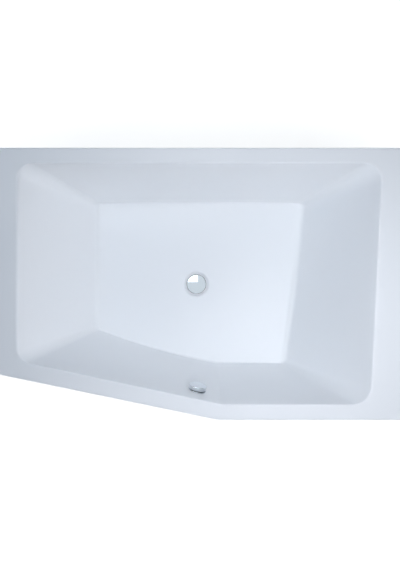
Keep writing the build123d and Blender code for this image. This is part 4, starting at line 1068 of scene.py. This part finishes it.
def materials():
    """One material for each slot of the record."""
    made = {
        "acrylic": acrylic(),
        "laminate": glass_resin(),
        "zinc_fasteners": metal("zinc_plate", (0.72, 0.73, 0.76), (0.24, 0.36)),
        "white_screws": moulded("white_lacquer", (0.85, 0.86, 0.87), (0.22, 0.30)),
        "black_rubber": moulded("rubber", (0.022, 0.022, 0.023), (0.62, 0.78)),
        "clip_plastic": moulded("grey_clip", (0.36, 0.37, 0.39)),
        "steel": metal("stainless", (0.66, 0.66, 0.67), (0.20, 0.30)),
        "chrome": metal("polished_chrome", (0.74, 0.77, 0.80), (0.05, 0.08), (40, 0.000002)),
        "waste_plastic": moulded("white_polypropylene", (0.80, 0.80, 0.785), (0.30, 0.42)),
        "lever_plastic": moulded("grey_acetal", (0.10, 0.105, 0.115)),
        "cable_sheath": moulded("cable_black", (0.016, 0.016, 0.017), (0.40, 0.52)),
        "foot_plastic": moulded("foot_black", (0.024, 0.024, 0.026), (0.42, 0.58)),
    }
    board, _, _, _ = material("chipboard", (0.55, 0.40, 0.25), 0.7)
    tones = (
        (0.30, 0.19, 0.10),
        (0.52, 0.37, 0.22),
        (0.60, 0.45, 0.28),
        (0.42, 0.28, 0.15),
        (0.66, 0.52, 0.34),
    )
    voronoi_flakes(board, 260, (1, 0.45, 1.6), tones, 0.0002)
    made["chipboard"] = board
    rail, _, _, _ = material("galvanised", (0.62, 0.64, 0.66), 0.38, 1.0)
    spangle = ((0.52, 0.54, 0.56), (0.64, 0.66, 0.68), (0.74, 0.76, 0.78))
    voronoi_flakes(rail, 120, (1, 1, 1), spangle, 0.00002)
    made["galvanised"] = rail
    return made


def welded(node):
    """A node's mesh in place, with shared corners, for further work."""
    thing = frame["nodes"][node]
    work = bmesh.new()
    work.from_mesh(thing.data)
    work.transform(thing.matrix_world)
    bmesh.ops.remove_doubles(work, verts=work.verts, dist=1e-6)
    return work


def solids_of(node):
    """The corner points of each separate solid in a node."""
    work = welded(node)
    seen, solids = set(), []
    for start in work.verts:
        if start in seen:
            continue
        stack, points = [start], []
        seen.add(start)
        while stack:
            vertex = stack.pop()
            points.append(tuple(vertex.co))
            for edge in vertex.link_edges:
                other = edge.other_vert(vertex)
                if other not in seen:
                    seen.add(other)
                    stack.append(other)
        solids.append(np.array(points))
    work.free()
    return solids


def lock_nuts():
    """The hexagon nuts of the feet."""
    nuts = []
    for points in solids_of("foot_lock_nuts"):
        low, high = points.min(0), points.max(0)
        middle = (low + high) / 2
        place = Matrix.Translation((middle[0], middle[1], low[2]))
        nuts.append(hexagon_nut(high[1] - low[1], high[2] - low[2], M10_BORE_R, place))
    return joined("lock_nuts", nuts, 25)


def cross_cutter(place, size, depth):
    """Two crossed bars that sink a recess into a screw's head; Z points out of the head."""
    thin = CROSS_BAR_SHARE * size
    return [box_mesh((size, thin, 2 * depth), place), box_mesh((thin, size, 2 * depth), place)]


def crossed_screws(name, node, outward, size, depth):
    """A node's screws with a cross recess in each head. outward gives a head's direction."""
    piece = object_of(welded(node), name)
    bars = []
    for points in solids_of(node):
        way = outward(points.mean(0))
        reach = points @ way
        crown = points[reach > reach.max() - 0.3 * MM].mean(0)
        head = crown + way * (reach.max() - crown @ way)
        turn = Vector(way).to_track_quat("Z", "Y").to_matrix().to_4x4()
        place = Matrix.Translation(head) @ turn @ Matrix.Rotation(CROSS_TURN, 4, "Z")
        bars += cross_cutter(place, size, depth)
    for bar in bars:
        cut(piece, bar)
    return piece


def downwards(_point):
    """The way that the heads below the board face."""
    return np.array([0.0, 0.0, -1.0])


def out_of_panel(point):
    """The way that the front panel faces at a point."""
    corners = outer_corners()
    if point[0] >= KINK_X:
        return np.array([0.0, -1.0, 0.0])
    along = corners[3] - corners[4]
    away = rotated(along / np.linalg.norm(along), -math.pi / 2)
    return np.array([away[0], away[1], 0.0])


def own(piece, body, nodes, slot_name):
    """Puts a piece on its body, in place of its nodes, with its slot's material."""
    piece.data.materials.clear()
    piece.data.materials.append(FINISH[slot_name])
    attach(piece, body)
    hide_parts(*nodes)


studio()
FINISH = materials()
SLOT_OF = {part["node"]: part["material_slot"] for part in frame["record"]["subparts"]}
for name, thing in frame["nodes"].items():
    thing.data.materials.clear()
    thing.data.materials.append(FINISH[SLOT_OF[name]])

own(tub(), "root", ["tub_shell"], "acrylic")
own(laminate(), "root", ["laminate_backing"], "laminate")
own(panel(), "root", ["front_panel"], "acrylic")
own(lock_nuts(), "root", ["foot_lock_nuts"], "zinc_fasteners")
BODIES = frame["record"]["behaviour"]["bodies"]
BODY_OF = {node: body for body, nodes in BODIES.items() for node in nodes}
for node, outward, size, depth in (
    ("rail_screws", downwards, RAIL_CROSS, RAIL_CROSS_DEPTH),
    ("panel_screws", out_of_panel, PANEL_CROSS, PANEL_CROSS_DEPTH),
):
    own(crossed_screws(node + "_crossed", node, outward, size, depth), "root", [node], SLOT_OF[node])
own(drain_cap(), BODY_OF["plug_cap"], ["plug_cap"], "chrome")
# A black ring round the waste cap: painted shadow of the gap under its edge
own(cap_shadow_ring(), BODY_OF["plug_cap"], [], "black_rubber")
own(knob(), BODY_OF["overflow_knob"], ["overflow_knob"], "chrome")
for node in sorted(frame["nodes"]):
    if node.startswith("foot_rod"):
        own(threaded_rod(node + "_thread", node), BODY_OF[node], [node], "zinc_fasteners")
    if node.startswith("foot_pad"):
        own(pad(node + "_moulded", node), BODY_OF[node], [node], "foot_plastic")
